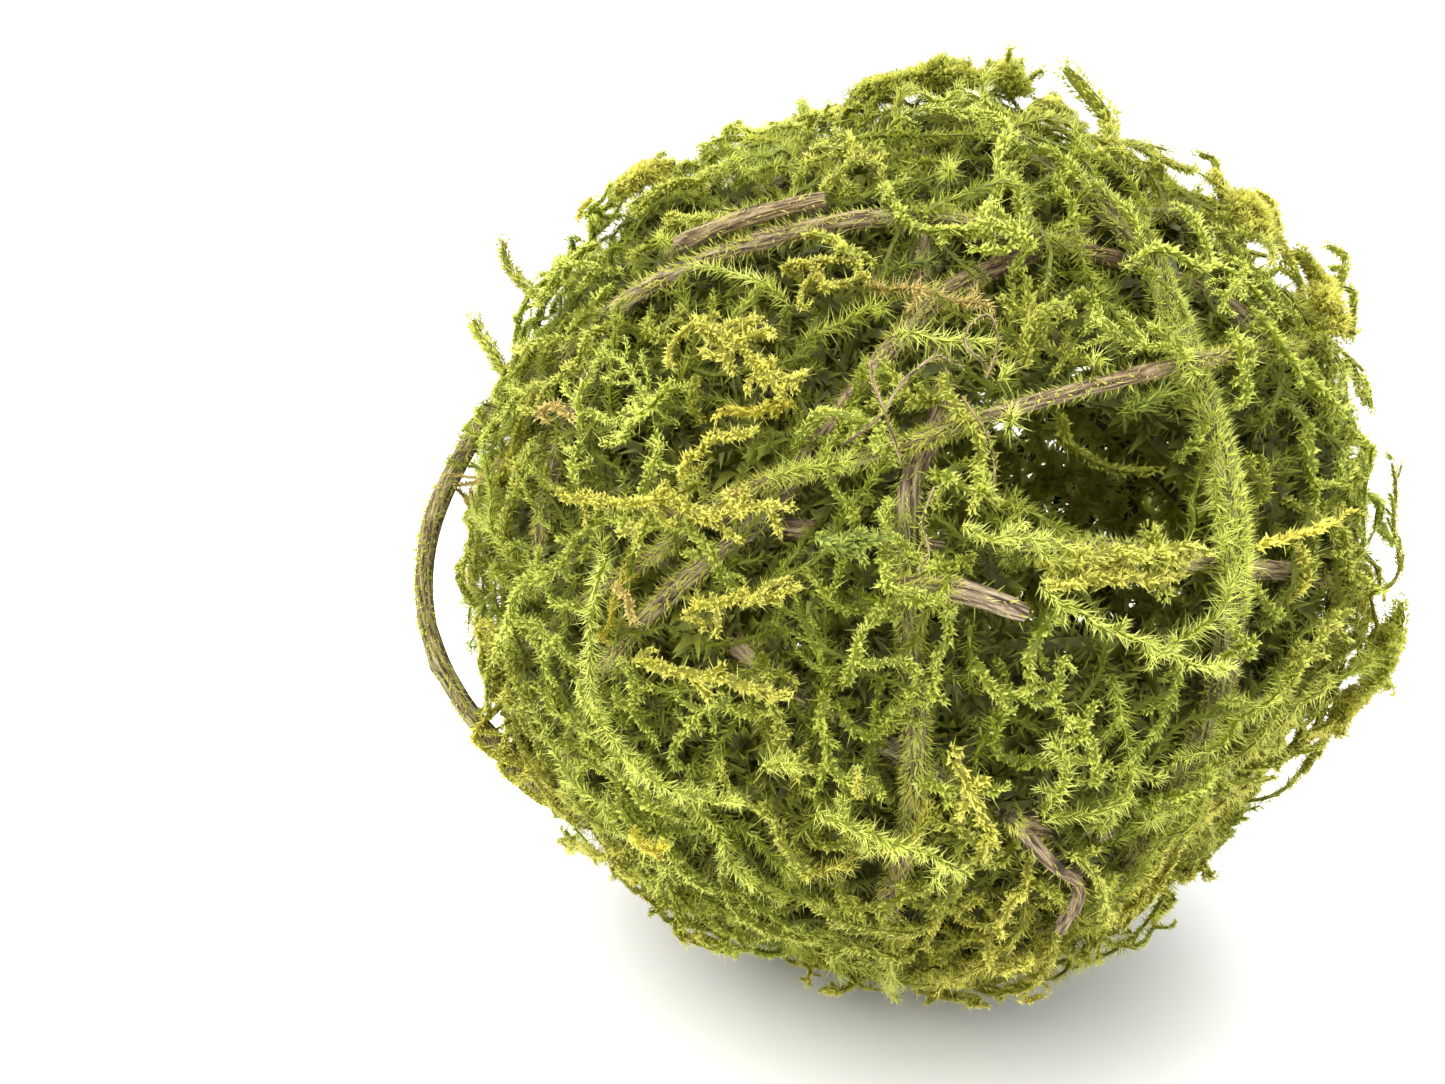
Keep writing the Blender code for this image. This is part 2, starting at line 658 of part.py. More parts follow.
def main():
    clear_scene()
    parts, cutters, profiles = (collection(name) for name in ("moss_orb", "beds", "shoot_sections"))
    bark = material("vine_bark", (0.19, 0.13, 0.075), 0.85)
    olive = material("moss_olive", (0.20, 0.24, 0.03), 0.9)
    bright = material("moss_bright", (0.29, 0.38, 0.05), 0.9)
    paths, radii = wood_paths()
    make_wood(paths, radii, parts, cutters, bark)
    pressing_block(cutters)
    sections = {
        "stem": ridged_section("stem_section", *STEM_SECTION, profiles),
        "shoot": ridged_section("shoot_section", *SHOOT_SECTION, profiles),
    }
    rng = np.random.default_rng(SPRAY_SEED)
    moss, sprays = Moss(), []
    keep_off_wood(moss, paths, radii)
    for number, middle in enumerate(spread_sprays(rng)):
        spray = Spray(number, middle, moss, rng, sections, parts)
        heading = rng.uniform(0, math.pi)
        if number < len(FRONT_SPRAYS):
            aim = spray.unwrap(direction(*FRONT_SPRAYS[number][1]))
            heading = math.atan2(aim[1], aim[0])
        spray.lay_stem(heading)
        sprays.append(spray)
    fill_ball(sprays, moss, rng)
    add_long_shoots(sprays, moss)
    for spray in sprays:
        for perch in spray.perches:
            if rng.uniform() < SPRIG_SHARE:
                spray.stand_sprig(perch)
    for spray in sprays:
        spray.finish(cutters, bright if spray.number % 3 == 1 else olive)


main()
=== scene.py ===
"""Moss orb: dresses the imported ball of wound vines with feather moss, bark, rootlets and a plain studio.

All sizes are in metres and +Z is up. Places on the ball are given as longitude and latitude in degrees, with
longitude 0 at the front and positive to the right.
"""

import json
import logging
import math
from dataclasses import dataclass, field
from enum import Enum
from typing import ClassVar

import bpy
import numpy as np
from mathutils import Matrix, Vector
from mathutils.kdtree import KDTree

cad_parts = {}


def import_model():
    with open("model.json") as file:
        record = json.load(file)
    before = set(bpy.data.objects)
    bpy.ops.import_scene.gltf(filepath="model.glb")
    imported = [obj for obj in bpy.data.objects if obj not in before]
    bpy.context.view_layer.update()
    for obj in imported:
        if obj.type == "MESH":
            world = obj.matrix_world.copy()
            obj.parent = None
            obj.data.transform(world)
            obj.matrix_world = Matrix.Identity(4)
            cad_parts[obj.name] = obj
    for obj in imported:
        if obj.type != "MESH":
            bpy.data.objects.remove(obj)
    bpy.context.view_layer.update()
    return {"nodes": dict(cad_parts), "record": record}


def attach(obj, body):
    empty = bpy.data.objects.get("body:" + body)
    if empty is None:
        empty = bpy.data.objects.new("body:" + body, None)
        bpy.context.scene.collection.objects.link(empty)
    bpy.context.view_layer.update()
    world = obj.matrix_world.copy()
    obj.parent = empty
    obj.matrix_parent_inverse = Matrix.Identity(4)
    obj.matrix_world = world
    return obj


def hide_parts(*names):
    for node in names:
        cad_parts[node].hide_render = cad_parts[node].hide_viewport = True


LOG = logging.getLogger("moss_orb")
MM = 0.001
SEED = 3688
GOLDEN_TURN = math.pi * (3 - math.sqrt(5))
FULL_TURN = 2 * math.pi
DOWN = (0.0, 0.0, -1.0)
# The lowest that any vertex lies over the floor, so that nothing sinks into it
FLOOR_GAP = 0.4 * MM
# Which corners of a quad its two triangles have
QUAD_TO_TRIANGLES = (0, 1, 2, 0, 2, 3)
# The names of the colour attribute and the UV map that the finishes read
TINT = "tint"
GRAIN = "along_grain"


def linear(hex_colour: str) -> np.ndarray:
    """Turns an sRGB hex colour into linear red, green and blue.

    Args:
        hex_colour: The colour, such as "#a0b040".

    Returns:
        Three linear values.
    """
    values = np.array([int(hex_colour[i : i + 2], 16) / 255 for i in (1, 3, 5)])
    return np.where(values <= 0.04045, values / 12.92, ((values + 0.055) / 1.055) ** 2.4)


def unit(vectors: np.ndarray) -> np.ndarray:
    """The vector, or each row of an array, at length one."""
    return vectors / np.maximum(np.linalg.norm(vectors, axis=-1, keepdims=True), 1e-12)


def direction(longitude: float, latitude: float) -> np.ndarray:
    """Unit vector from the ball's centre towards a place on it."""
    lon, lat = math.radians(longitude), math.radians(latitude)
    return np.array([math.sin(lon) * math.cos(lat), -math.cos(lon) * math.cos(lat), math.sin(lat)])


def smooth_step(values: np.ndarray, low: float, high: float) -> np.ndarray:
    """Rises smoothly from 0 at low to 1 at high."""
    share = np.clip((values - low) / (high - low), 0, 1)
    return share * share * (3 - 2 * share)


def smoothed_line(points: np.ndarray, step: float) -> np.ndarray:
    """Points at about even steps along a smooth curve through all the given ones.

    Args:
        points: Rows of places that the curve passes.
        step: The distance between the points returned.

    Returns:
        Rows of places along a Catmull-Rom curve.
    """
    ends = np.concatenate([2 * points[:1] - points[1:2], points, 2 * points[-1:] - points[-2:-1]])
    rows = []
    for a, b, c, d in zip(ends[:-3], ends[1:-2], ends[2:-1], ends[3:]):
        count = max(1, round(np.linalg.norm(c - b) / step))
        t = (np.arange(count) / count)[:, None]
        lower_terms = 2 * b + (c - a) * t + (2 * a - 5 * b + 4 * c - d) * t**2
        rows.append(0.5 * (lower_terms + (3 * b - a - 3 * c + d) * t**3))
    return np.concatenate([*rows, points[-1:]])


def along_line(points: np.ndarray) -> np.ndarray:
    """How far each point of a line lies from its start, along the line."""
    return np.concatenate([[0], np.cumsum(np.linalg.norm(np.diff(points, axis=0), axis=1))])


def add_node(
    tree: bpy.types.NodeTree, kind: str, values: dict | None = None, links: dict | None = None, **settings
) -> bpy.types.Node:
    """Adds a shader node.

    Args:
        tree: The node tree it goes into.
        kind: The node's type name.
        values: Socket name or number to its value.
        links: Socket name or number to the output socket that feeds it.
        settings: The node's own settings.

    Returns:
        The new node.
    """
    node = tree.nodes.new(kind)
    for name, value in settings.items():
        setattr(node, name, value)
    for name, value in (values or {}).items():
        node.inputs[name].default_value = value
    for name, socket in (links or {}).items():
        tree.links.new(socket, node.inputs[name])
    return node


@dataclass(frozen=True)
class DriedMoss:
    """Dried and dyed feather moss: thin matte leaves, each of one cell layer that lets some light through.

    The leaves carry a tint with painted shade where they lie deep in the net and painted light towards their
    pale tips, and fine mottling breaks it up where dye and dust lie unevenly, in patches about 2.5 mm across.
    """

    name: str = "dried_feather_moss"
    roughness: float = 0.5
    glint: float = 0.4
    see_through: float = 0.4
    passing: float = 1.65
    mottle_mm: float = 2.5
    darkest: float = 0.80
    lightest: float = 1.16

    def material(self) -> bpy.types.Material:
        """Builds the material: a matte leaf that lets some light from behind through.

        Returns:
            The material.
        """
        made = bpy.data.materials.new(self.name)
        made.use_nodes = True
        tree = made.node_tree
        tree.nodes.clear()
        out = add_node(tree, "ShaderNodeOutputMaterial")
        tint = add_node(tree, "ShaderNodeAttribute", attribute_name=TINT, attribute_type="GEOMETRY")
        place = add_node(tree, "ShaderNodeTexCoord")
        mottle = add_node(
            tree,
            "ShaderNodeTexNoise",
            {"Scale": 1 / (self.mottle_mm * MM), "Detail": 2.0, "Roughness": 0.6},
            {"Vector": place.outputs["Object"]},
        )
        spread = add_node(
            tree,
            "ShaderNodeMapRange",
            {"From Min": 0.3, "From Max": 0.7, "To Min": self.darkest, "To Max": self.lightest},
            {"Value": mottle.outputs["Fac"]},
        )
        mottled = add_node(
            tree,
            "ShaderNodeVectorMath",
            links={0: tint.outputs["Color"], 1: spread.outputs["Result"]},
            operation="MULTIPLY",
        )
        shader = add_node(
            tree,
            "ShaderNodeBsdfPrincipled",
            {"Roughness": self.roughness, "Specular IOR Level": self.glint, "IOR": 1.45},
            {"Base Color": mottled.outputs["Vector"]},
        )
        passed = add_node(
            tree,
            "ShaderNodeVectorMath",
            {1: (self.passing, self.passing, self.passing)},
            {0: mottled.outputs["Vector"]},
            operation="MULTIPLY",
        )
        behind = add_node(tree, "ShaderNodeBsdfTranslucent", links={"Color": passed.outputs["Vector"]})
        both = add_node(
            tree,
            "ShaderNodeMixShader",
            {"Fac": self.see_through},
            {1: shader.outputs["BSDF"], 2: behind.outputs["BSDF"]},
        )
        tree.links.new(both.outputs["Shader"], out.inputs["Surface"])
        return made


@dataclass(frozen=True)
class VineBark:
    """Bark of a dry woody vine: matte grey-brown, painted shade in the furrows, painted highlight on the
    ridges.
    """

    name: str = "dry_vine_bark"
    furrow_shade: str = "#33281d"
    body: str = "#75634c"
    ridge_highlight: str = "#b0a28a"
    roughness: float = 0.82
    furrow_width_mm: float = 0.6
    furrow_length_mm: float = 6.0
    furrow_depth_mm: float = 0.22

    def material(self) -> bpy.types.Material:
        """Builds the material. The UV map gives millimetres round and along the vine.

        Returns:
            The material.
        """
        made = bpy.data.materials.new(self.name)
        made.use_nodes = True
        tree = made.node_tree
        tree.nodes.clear()
        out = add_node(tree, "ShaderNodeOutputMaterial")
        tint = add_node(tree, "ShaderNodeAttribute", attribute_name=TINT, attribute_type="GEOMETRY")
        grain = add_node(tree, "ShaderNodeUVMap", uv_map=GRAIN)
        scaled = add_node(
            tree,
            "ShaderNodeMapping",
            {"Scale": (1 / self.furrow_width_mm, 1 / self.furrow_length_mm, 1.0)},
            {"Vector": grain.outputs["UV"]},
        )
        furrows = add_node(
            tree,
            "ShaderNodeTexNoise",
            {"Scale": 1.0, "Detail": 3.0, "Roughness": 0.65, "Distortion": 0.3},
            {"Vector": scaled.outputs["Vector"]},
        )
        ramp = add_node(tree, "ShaderNodeValToRGB", links={"Fac": furrows.outputs["Fac"]})
        # Painted shade darkens the furrows that the bump sinks, and painted highlight lightens the ridges
        # that it raises
        stops = ((0.38, self.furrow_shade), (0.49, self.body), (0.62, self.ridge_highlight))
        while len(ramp.color_ramp.elements) < len(stops):
            ramp.color_ramp.elements.new(0.5)
        for element, (position, colour) in zip(ramp.color_ramp.elements, stops):
            element.position = position
            element.color = (*linear(colour), 1)
        tinted = add_node(
            tree,
            "ShaderNodeVectorMath",
            links={0: ramp.outputs["Color"], 1: tint.outputs["Color"]},
            operation="MULTIPLY",
        )
        bump = add_node(
            tree,
            "ShaderNodeBump",
            {"Strength": 0.9, "Distance": self.furrow_depth_mm * MM},
            {"Height": furrows.outputs["Fac"]},
        )
        shader = add_node(
            tree,
            "ShaderNodeBsdfPrincipled",
            {"Roughness": self.roughness, "IOR": 1.45},
            {"Base Color": tinted.outputs["Vector"], "Normal": bump.outputs["Normal"]},
        )
        tree.links.new(shader.outputs["BSDF"], out.inputs["Surface"])
        return made


@dataclass(frozen=True)
class StudioPaper:
    """Seamless matte background paper, near white."""

    name: str = "studio_paper"
    colour: str = "#f4f4f2"
    roughness: float = 0.9
    fibre_mm: float = 8.0
    darkest: float = 0.985

    def material(self) -> bpy.types.Material:
        """Builds the material, with the paper's faint unevenness about 8 mm across.

        Returns:
            The material.
        """
        made = bpy.data.materials.new(self.name)
        made.use_nodes = True
        tree = made.node_tree
        shader = tree.nodes["Principled BSDF"]
        place = add_node(tree, "ShaderNodeTexCoord")
        fibre = add_node(
            tree,
            "ShaderNodeTexNoise",
            {"Scale": 1 / (self.fibre_mm * MM), "Detail": 2.0},
            {"Vector": place.outputs["Object"]},
        )
        ramp = add_node(tree, "ShaderNodeValToRGB", links={"Fac": fibre.outputs["Fac"]})
        for element, share in zip(ramp.color_ramp.elements, (self.darkest, 1.0)):
            element.color = (*(linear(self.colour) * share), 1)
        tree.links.new(ramp.outputs["Color"], shader.inputs["Base Color"])
        shader.inputs["Roughness"].default_value = self.roughness
        return made


@dataclass(frozen=True)
class Tint:
    """Colours of one kind of moss: painted shade inside the net, its body, painted light, and its pale tips.
    """

    shade: str
    body: str
    lit: str
    tip: str

    def rows(self) -> np.ndarray:
        """The four colours as linear rows."""
        return np.array([linear(colour) for colour in (self.shade, self.body, self.lit, self.tip)])


class MossTint(Enum):
    """The kinds of colour that the moss shows."""

    OLIVE = Tint("#3d3e10", "#7b7e1f", "#aaac37", "#e0e07e")
    YELLOWISH = Tint("#434110", "#82811f", "#b6b33a", "#ece684")
    BRIGHT = Tint("#404410", "#7c8421", "#aeb53a", "#e9ed8a")
    BLUISH = Tint("#333d10", "#646f22", "#8c9838", "#c4ce6a")
    DRY = Tint("#5c4e20", "#8d7d38", "#bba758", "#e0d08c")
    GOLDEN = Tint("#5c5711", "#9c9224", "#cbc140", "#efe97a")
    # Painted shade: the dark tint of the buried layers, deep in the net
    DEEP_SHADE = Tint("#31340f", "#555919", "#787c29", "#a0a440")
    # Painted light: the pale tint of the far wall's lining, seen through the window, stands in for light that
    # passes through the net
    INSIDE = Tint("#969a4c", "#babc62", "#d2d378", "#e4e490")


@dataclass(frozen=True)
class Leafing:
    """How leaves stand on a shoot.

    Leaves are counted for each metre of shoot. Lengths and breadths are in metres, and leans in degrees from
    the shoot's direction. hairs are the thinner, longer leaves among them, and core is the stem's share of
    the shoot's half width. Leaves stand at the root's share of the half width, over the round's share of the
    way round. flat is how far their broad sides turn to face out of the ball, and stray how far they tilt at
    random, in radians.
    """

    leaves: float
    length: tuple[float, float]
    breadth: float
    lean: tuple[float, float]
    core: float
    hairs: float = 0.0
    hair_length: tuple[float, float] = (0.0, 0.0)
    hair_breadth: float = 0.19 * MM
    hair_lean: tuple[float, float] = (35, 80)
    flat: float = 0.3
    stray: float = 0.2
    root: float = 0.32
    round: float = 1.0


class Habit(Enum):
    """How a shoot grows."""

    CRINKLED = Leafing(
        leaves=9000,
        length=(0.7 * MM, 1.25 * MM),
        breadth=0.68 * MM,
        lean=(15, 88),
        core=0.6,
        hairs=950,
        hair_length=(1.6 * MM, 3.6 * MM),
        stray=0.5,
    )
    FLUFFY = Leafing(
        leaves=3000,
        length=(1.2 * MM, 2.0 * MM),
        breadth=0.42 * MM,
        lean=(25, 70),
        core=0.36,
        hairs=7500,
        hair_length=(1.7 * MM, 3.2 * MM),
        stray=0.36,
    )
    FEATHER = Leafing(
        leaves=7000,
        length=(0.9 * MM, 1.5 * MM),
        breadth=0.62 * MM,
        lean=(20, 60),
        core=0.45,
        hairs=500,
        hair_length=(1.5 * MM, 2.4 * MM),
        flat=0.4,
        stray=0.3,
    )
    BRISTLE = Leafing(
        leaves=1800,
        length=(1.6 * MM, 2.6 * MM),
        breadth=0.42 * MM,
        lean=(25, 60),
        core=0.30,
        hairs=8500,
        hair_length=(2.6 * MM, 4.4 * MM),
        stray=0.3,
    )
    CLUB = Leafing(
        leaves=15000,
        length=(0.9 * MM, 1.5 * MM),
        breadth=0.62 * MM,
        lean=(25, 75),
        core=0.75,
        hairs=2500,
        hair_length=(1.4 * MM, 2.4 * MM),
        stray=0.4,
        root=0.75,
    )
    BURIED = Leafing(
        leaves=2000,
        length=(2.2 * MM, 3.6 * MM),
        breadth=1.1 * MM,
        lean=(25, 88),
        core=0.80,
        flat=0.9,
        stray=0.25,
    )
    LINING = Leafing(
        leaves=1300,
        length=(3.6 * MM, 5.6 * MM),
        breadth=2.3 * MM,
        lean=(25, 88),
        core=0.80,
        flat=0.95,
        stray=0.15,
    )
    FUZZ = Leafing(
        leaves=12000,
        length=(0.9 * MM, 1.8 * MM),
        breadth=0.42 * MM,
        lean=(25, 75),
        core=0.0,
        hairs=9000,
        hair_length=(1.3 * MM, 2.6 * MM),
        stray=0.4,
        root=0.92,
        round=0.72,
    )


UNSEEN_HABITS = (Habit.BURIED, Habit.LINING)
# Profiles along a shoot: shares of the way, and the share of its full size that a thing has there
SIDE_PROFILE = ((0, 0.12, 0.4, 0.8, 1), (0.45, 0.8, 1, 0.62, 0.3))
LEAF_PROFILE = ((0, 0.12, 0.8, 1), (0.75, 1, 0.92, 0.6))
LEAN_PROFILE = ((0, 0.85, 1), (1, 1, 0.6))
CORE_PROFILE = ((0, 0.8, 1), (1, 0.8, 0.3))
SHORTEST_SIDE_SHOOT = 0.0018
# No frond reaches further than this many radians over the ball
FROND_REACH = 0.55


@dataclass
class Cord:
    """One shoot of moss: its centre line from the ball's centre, half width, habit and colour.

    density is how leafy it is, and detail how many leaves make up the same cover.
    """

    places: np.ndarray
    half_width: float
    habit: Habit
    tint: MossTint
    glow: float
    density: float = 1.0
    detail: float = 1.0

    def sampled(self, spacing: float) -> tuple[np.ndarray, np.ndarray, np.ndarray]:
        """Walks along the cord at even steps.

        Args:
            spacing: The distance between the steps.

        Returns:
            The place of each step, the cord's direction there, and the share of the way.
        """
        steps = np.diff(self.places, axis=0)
        lengths = np.linalg.norm(steps, axis=1)
        reach = along_line(self.places)
        count = max(2, round(reach[-1] / spacing))
        at = (np.arange(count) + 0.5) * reach[-1] / count
        places = np.stack([np.interp(at, reach, row) for row in self.places.T], 1)
        index = np.clip(np.searchsorted(reach, at) - 1, 0, len(steps) - 1)
        return places, steps[index] / np.maximum(lengths[index], 1e-9)[:, None], at / reach[-1]


@dataclass
class MeshParts:
    """Vertices, triangles, tints and grain of one piece, gathered before they become a mesh."""

    vertices: list[np.ndarray] = field(default_factory=list)
    faces: list[np.ndarray] = field(default_factory=list)
    tints: list[np.ndarray] = field(default_factory=list)
    grains: list[np.ndarray] = field(default_factory=list)
    count: int = 0

    def add(
        self,
        vertices: np.ndarray,
        faces: np.ndarray,
        tints: np.ndarray,
        grain: np.ndarray | None = None,
    ) -> None:
        """Adds one part.

        Args:
            vertices: Rows of world places.
            faces: Rows of three vertices each, numbered from 0.
            tints: Each vertex's linear colour.
            grain: The UV place of each corner of each face, on a piece that has grain.
        """
        self.vertices.append(vertices)
        self.faces.append(faces + self.count)
        self.tints.append(tints)
        if grain is not None:
            self.grains.append(grain)
        self.count += len(vertices)

    def to_object(self, name: str, material: bpy.types.Material, smooth: bool = False) -> bpy.types.Object:
        """Makes the piece.

        Args:
            name: The object's name.
            material: Its one material.
            smooth: Whether its faces are shaded smooth.

        Returns:
            The object, linked into the scene.
        """
        vertices, faces = np.concatenate(self.vertices), np.concatenate(self.faces)
        vertices[:, 2] = np.maximum(vertices[:, 2], FLOOR_GAP)
        mesh = bpy.data.meshes.new(name)
        mesh.vertices.add(len(vertices))
        mesh.vertices.foreach_set("co", vertices.astype(np.float32).ravel())
        mesh.loops.add(faces.size)
        mesh.polygons.add(len(faces))
        mesh.polygons.foreach_set("loop_start", np.arange(0, faces.size, 3, dtype=np.int32))
        mesh.polygons.foreach_set("vertices", faces.astype(np.int32).ravel())
        mesh.polygons.foreach_set("use_smooth", np.full(len(faces), smooth))
        mesh.update(calc_edges=True)
        tints = np.concatenate(self.tints)
        colours = np.concatenate([tints, np.ones((len(tints), 1))], 1).astype(np.float32)
        mesh.attributes.new(TINT, "FLOAT_COLOR", "POINT").data.foreach_set("color", colours.ravel())
        if self.grains:
            grain = np.concatenate(self.grains).astype(np.float32)
            mesh.uv_layers.new(name=GRAIN).data.foreach_set("uv", grain.ravel())
        mesh.materials.append(material)
        piece = bpy.data.objects.new(name, mesh)
        bpy.context.scene.collection.objects.link(piece)
        LOG.info("%s: %d triangles", name, len(faces))
        return piece


@dataclass(frozen=True)
class Hollow:
    """A place that the outer moss leaves open: its middle, and half sizes and turn along the ball.

    The buried layers leave it open too where it goes through.
    """

    longitude: float
    latitude: float
    half_width: float
    half_height: float
    turn: float = 0.0
    through: bool = False

    def outside(self, places: np.ndarray) -> np.ndarray:
        """How far places lie outside the hollow's oval, along the ball.

        Args:
            places: Rows of places or directions from the ball's centre.

        Returns:
            A distance for each, below 0 inside the oval.
        """
        out = direction(self.longitude, self.latitude)
        level = unit(np.cross(out, DOWN))
        rise = np.cross(level, out)
        turn = math.radians(self.turn)
        right = math.cos(turn) * level + math.sin(turn) * rise
        up = math.cos(turn) * rise - math.sin(turn) * level
        places = unit(places) * Ball.radius
        oval = np.hypot(places @ right / self.half_width, places @ up / self.half_height)
        return np.where(places @ out > 0, (oval - 1) * min(self.half_width, self.half_height), Ball.radius)


@dataclass(frozen=True)
class Swelling:
    """A place where the ball bulges, or is dented where the height is below 0. Its width is in degrees."""

    longitude: float
    latitude: float
    width: float
    height: float


@dataclass(frozen=True)
class Ball:
    """The ball that the orb is wound on: its size, where it bulges or is dented, and where it is open.

    The first hollow is the window and the second the gap under its sill.
    """

    radius: float = 0.100
    centre: tuple[float, float, float] = (0.0, 0.0, 0.097)
    swellings: tuple[Swelling, ...] = (
        Swelling(longitude=50, latitude=-24, width=17, height=-0.0105),
        Swelling(longitude=55, latitude=-2, width=12, height=0.0050),
        Swelling(longitude=58, latitude=38, width=20, height=0.0035),
        Swelling(longitude=-57, latitude=45, width=15, height=0.0035),
        Swelling(longitude=25, latitude=70, width=14, height=0.0040),
        Swelling(longitude=-16, latitude=-45, width=14, height=-0.0040),
    )
    hollows: tuple[Hollow, ...] = (
        Hollow(longitude=19.3, latitude=18.8, half_width=0.0180, half_height=0.0113, turn=8, through=True),
        Hollow(longitude=23.5, latitude=7.6, half_width=0.0075, half_height=0.0042, turn=10, through=True),
        Hollow(longitude=-18.1, latitude=48.5, half_width=0.0050, half_height=0.0032),
        Hollow(longitude=-4.9, latitude=31.4, half_width=0.0060, half_height=0.0028, turn=-20),
        Hollow(longitude=-19.7, latitude=20.7, half_width=0.0045, half_height=0.0035),
        Hollow(longitude=-21.0, latitude=7.1, half_width=0.0060, half_height=0.0036, turn=30),
        Hollow(longitude=1.4, latitude=-9.0, half_width=0.0026, half_height=0.0062),
        Hollow(longitude=12.2, latitude=-11.8, half_width=0.0040, half_height=0.0050),
        Hollow(longitude=-17.5, latitude=40.0, half_width=0.0070, half_height=0.0022, turn=20),
        Hollow(longitude=39.7, latitude=9.8, half_width=0.0040, half_height=0.0055, through=True),
        Hollow(longitude=51.0, latitude=31.0, half_width=0.0050, half_height=0.0040, through=True),
    )

    def shaped(self, points: np.ndarray) -> np.ndarray:
        """Moves points of a true ball in or out to where the bulging and dented ball has them.

        Args:
            points: Rows of places from the ball's centre.

        Returns:
            The moved places.
        """
        out = unit(points)
        swell = np.zeros(out.shape[:-1])
        for swelling in self.swellings:
            middle = direction(swelling.longitude, swelling.latitude)
            away = np.degrees(np.arccos(np.clip(out @ middle, -1, 1)))
            swell = swell + swelling.height * np.exp(-((away / swelling.width) ** 2))
        return points * (1 + swell / self.radius)[..., None]

    def line_through(self, places: tuple[tuple[float, float, float], ...], step: float) -> np.ndarray:
        """Draws a smooth line over the ball.

        Args:
            places: Longitude, latitude and height over the ball in mm of each place that it passes.
            step: The distance between the points returned.

        Returns:
            Rows of places from the ball's centre.
        """
        spots = [direction(lon, lat) * (self.radius + height * MM) for lon, lat, height in places]
        return smoothed_line(np.array(spots), step)

    def outside_hollows(self, places: np.ndarray, through_only: bool) -> np.ndarray:
        """How far places lie outside the nearest hollow.

        Args:
            places: Rows of places or directions from the ball's centre.
            through_only: Whether only the hollows that go through count.

        Returns:
            A distance along the ball for each, below 0 inside a hollow.
        """
        free = np.full(len(places), self.radius)
        for hollow in self.hollows:
            if hollow.through or not through_only:
                free = np.minimum(free, hollow.outside(places))
        return free


@dataclass
class WoodField:
    """Where the wood lies: directions along every vine and twig, and how high its outer side stands.

    clear marks where the moss keeps off it. A shoot starts to climb at climb_from from the wood, and is up
    at climb_by, where its middle stands over the wood by seat times its half width. Wood that stands higher
    than sprung over the ball has sprung away from it, and no shoot climbs it.
    """

    outs: np.ndarray
    tops: np.ndarray
    clear: np.ndarray
    climb_from: float = 5.2 * MM
    climb_by: float = 2.0 * MM
    seat: float = 0.75
    sprung: ClassVar[float] = 5 * MM

    def __post_init__(self) -> None:
        """Sorts the places so that the nearest can be found."""
        self.tree = KDTree(len(self.outs))
        for index, out in enumerate(self.outs):
            self.tree.insert(out, index)
        self.tree.balance()
        self.clear_outs = self.outs[self.clear]

    @staticmethod
    def of(ball: Ball, vines: list["Vine"]) -> "WoodField":
        """Reads from the vines and twigs where the wood lies, apart from where it has sprung away.

        Args:
            ball: The ball that they are wound on.
            vines: The vines and twigs.

        Returns:
            Where the wood lies.
        """
        rows = []
        for vine in vines:
            outs, tops = vine.reach_of(ball)
            near = tops < WoodField.sprung
            rows.append((outs[near], tops[near], vine.growth(ball)[1][near]))
        return WoodField(*(np.concatenate(column) for column in zip(*rows)))

    def climb(self, path: np.ndarray, heights: np.ndarray, half_width: float, radius: float) -> np.ndarray:
        """Raises a shoot where it crosses over wood.

        Args:
            path: The shoot's unit directions from the ball's centre.
            heights: Its heights from the ball's radius.
            half_width: Its half width.
            radius: The ball's radius.

        Returns:
            The raised heights.
        """
        raised = heights.copy()
        for index, out in enumerate(path):
            _, nearest, apart = self.tree.find(out)
            over = self.tops[nearest] + self.seat * half_width - heights[index]
            if over > 0:
                closeness = smooth_step(np.array(-apart * radius), -self.climb_from, -self.climb_by)
                raised[index] += over * float(closeness)
        padded = np.concatenate([raised[:1], raised, raised[-1:]])
        return 0.25 * padded[:-2] + 0.5 * raised + 0.25 * padded[2:]

    def clear_by(self, path: np.ndarray, radius: float) -> np.ndarray:
        """How far each direction lies from the wood that stays clear."""
        close = (path @ self.clear_outs.T).max(1)
        return np.arccos(np.clip(close, -1, 1)) * radius


@dataclass(frozen=True)
class Layer:
    """One layer of the net: how high it lies, how closely it fills the ball, and what grows in it.

    height is measured from the ball's radius, in metres, with its spread to either side. targets are the
    places spread over the ball that shoots grow across. One may stay up to need from the nearest shoot, and
    up to need plus open_need where the net is open. habits gives each habit's weight, glow how light its
    shoots are from 0 to 1, with painted shade on the deeper layers, and root_depth how far down they start.
    Buried moss passes under bare wood. The layer ends at its setback from the rim of a hollow, and density
    is how leafy it is.
    """

    name: str
    height: float
    spread: float
    targets: int
    need: float
    open_need: float
    habits: tuple[tuple[Habit, float], ...]
    glow: tuple[float, float]
    root_depth: float
    buried: bool
    setback: float = 0.0
    density: float = 1.0


LINING = Layer(
    name="lining",
    height=-0.0148,
    spread=0.0012,
    targets=5000,
    need=0.0021,
    open_need=0.0006,
    habits=((Habit.LINING, 1.0),),
    glow=(0.4, 1.0),
    root_depth=0.001,
    buried=True,
    setback=6.5 * MM,
    density=0.9,
)
INNER = Layer(
    name="inner",
    height=-0.0108,
    spread=0.0014,
    targets=6000,
    need=0.0026,
    open_need=0.0012,
    habits=((Habit.BURIED, 1.0),),
    glow=(0.0, 0.5),
    root_depth=0.001,
    buried=True,
    setback=4.5 * MM,
)
MIDDLE = Layer(
    name="middle",
    height=-0.0066,
    spread=0.0012,
    targets=5000,
    need=0.0031,
    open_need=0.0020,
    habits=((Habit.FLUFFY, 1.0),),
    glow=(0.0, 0.5),
    root_depth=0.002,
    buried=False,
    density=0.5,
)
OUTER = Layer(
    name="outer",
    height=-0.0032,
    spread=0.0015,
    targets=9000,
    need=0.0022,
    open_need=0.0014,
    habits=((Habit.CRINKLED, 0.54), (Habit.FLUFFY, 0.28), (Habit.FEATHER, 0.09), (Habit.BRISTLE, 0.09)),
    glow=(0.35, 1.0),
    root_depth=0.0045,
    buried=False,
)


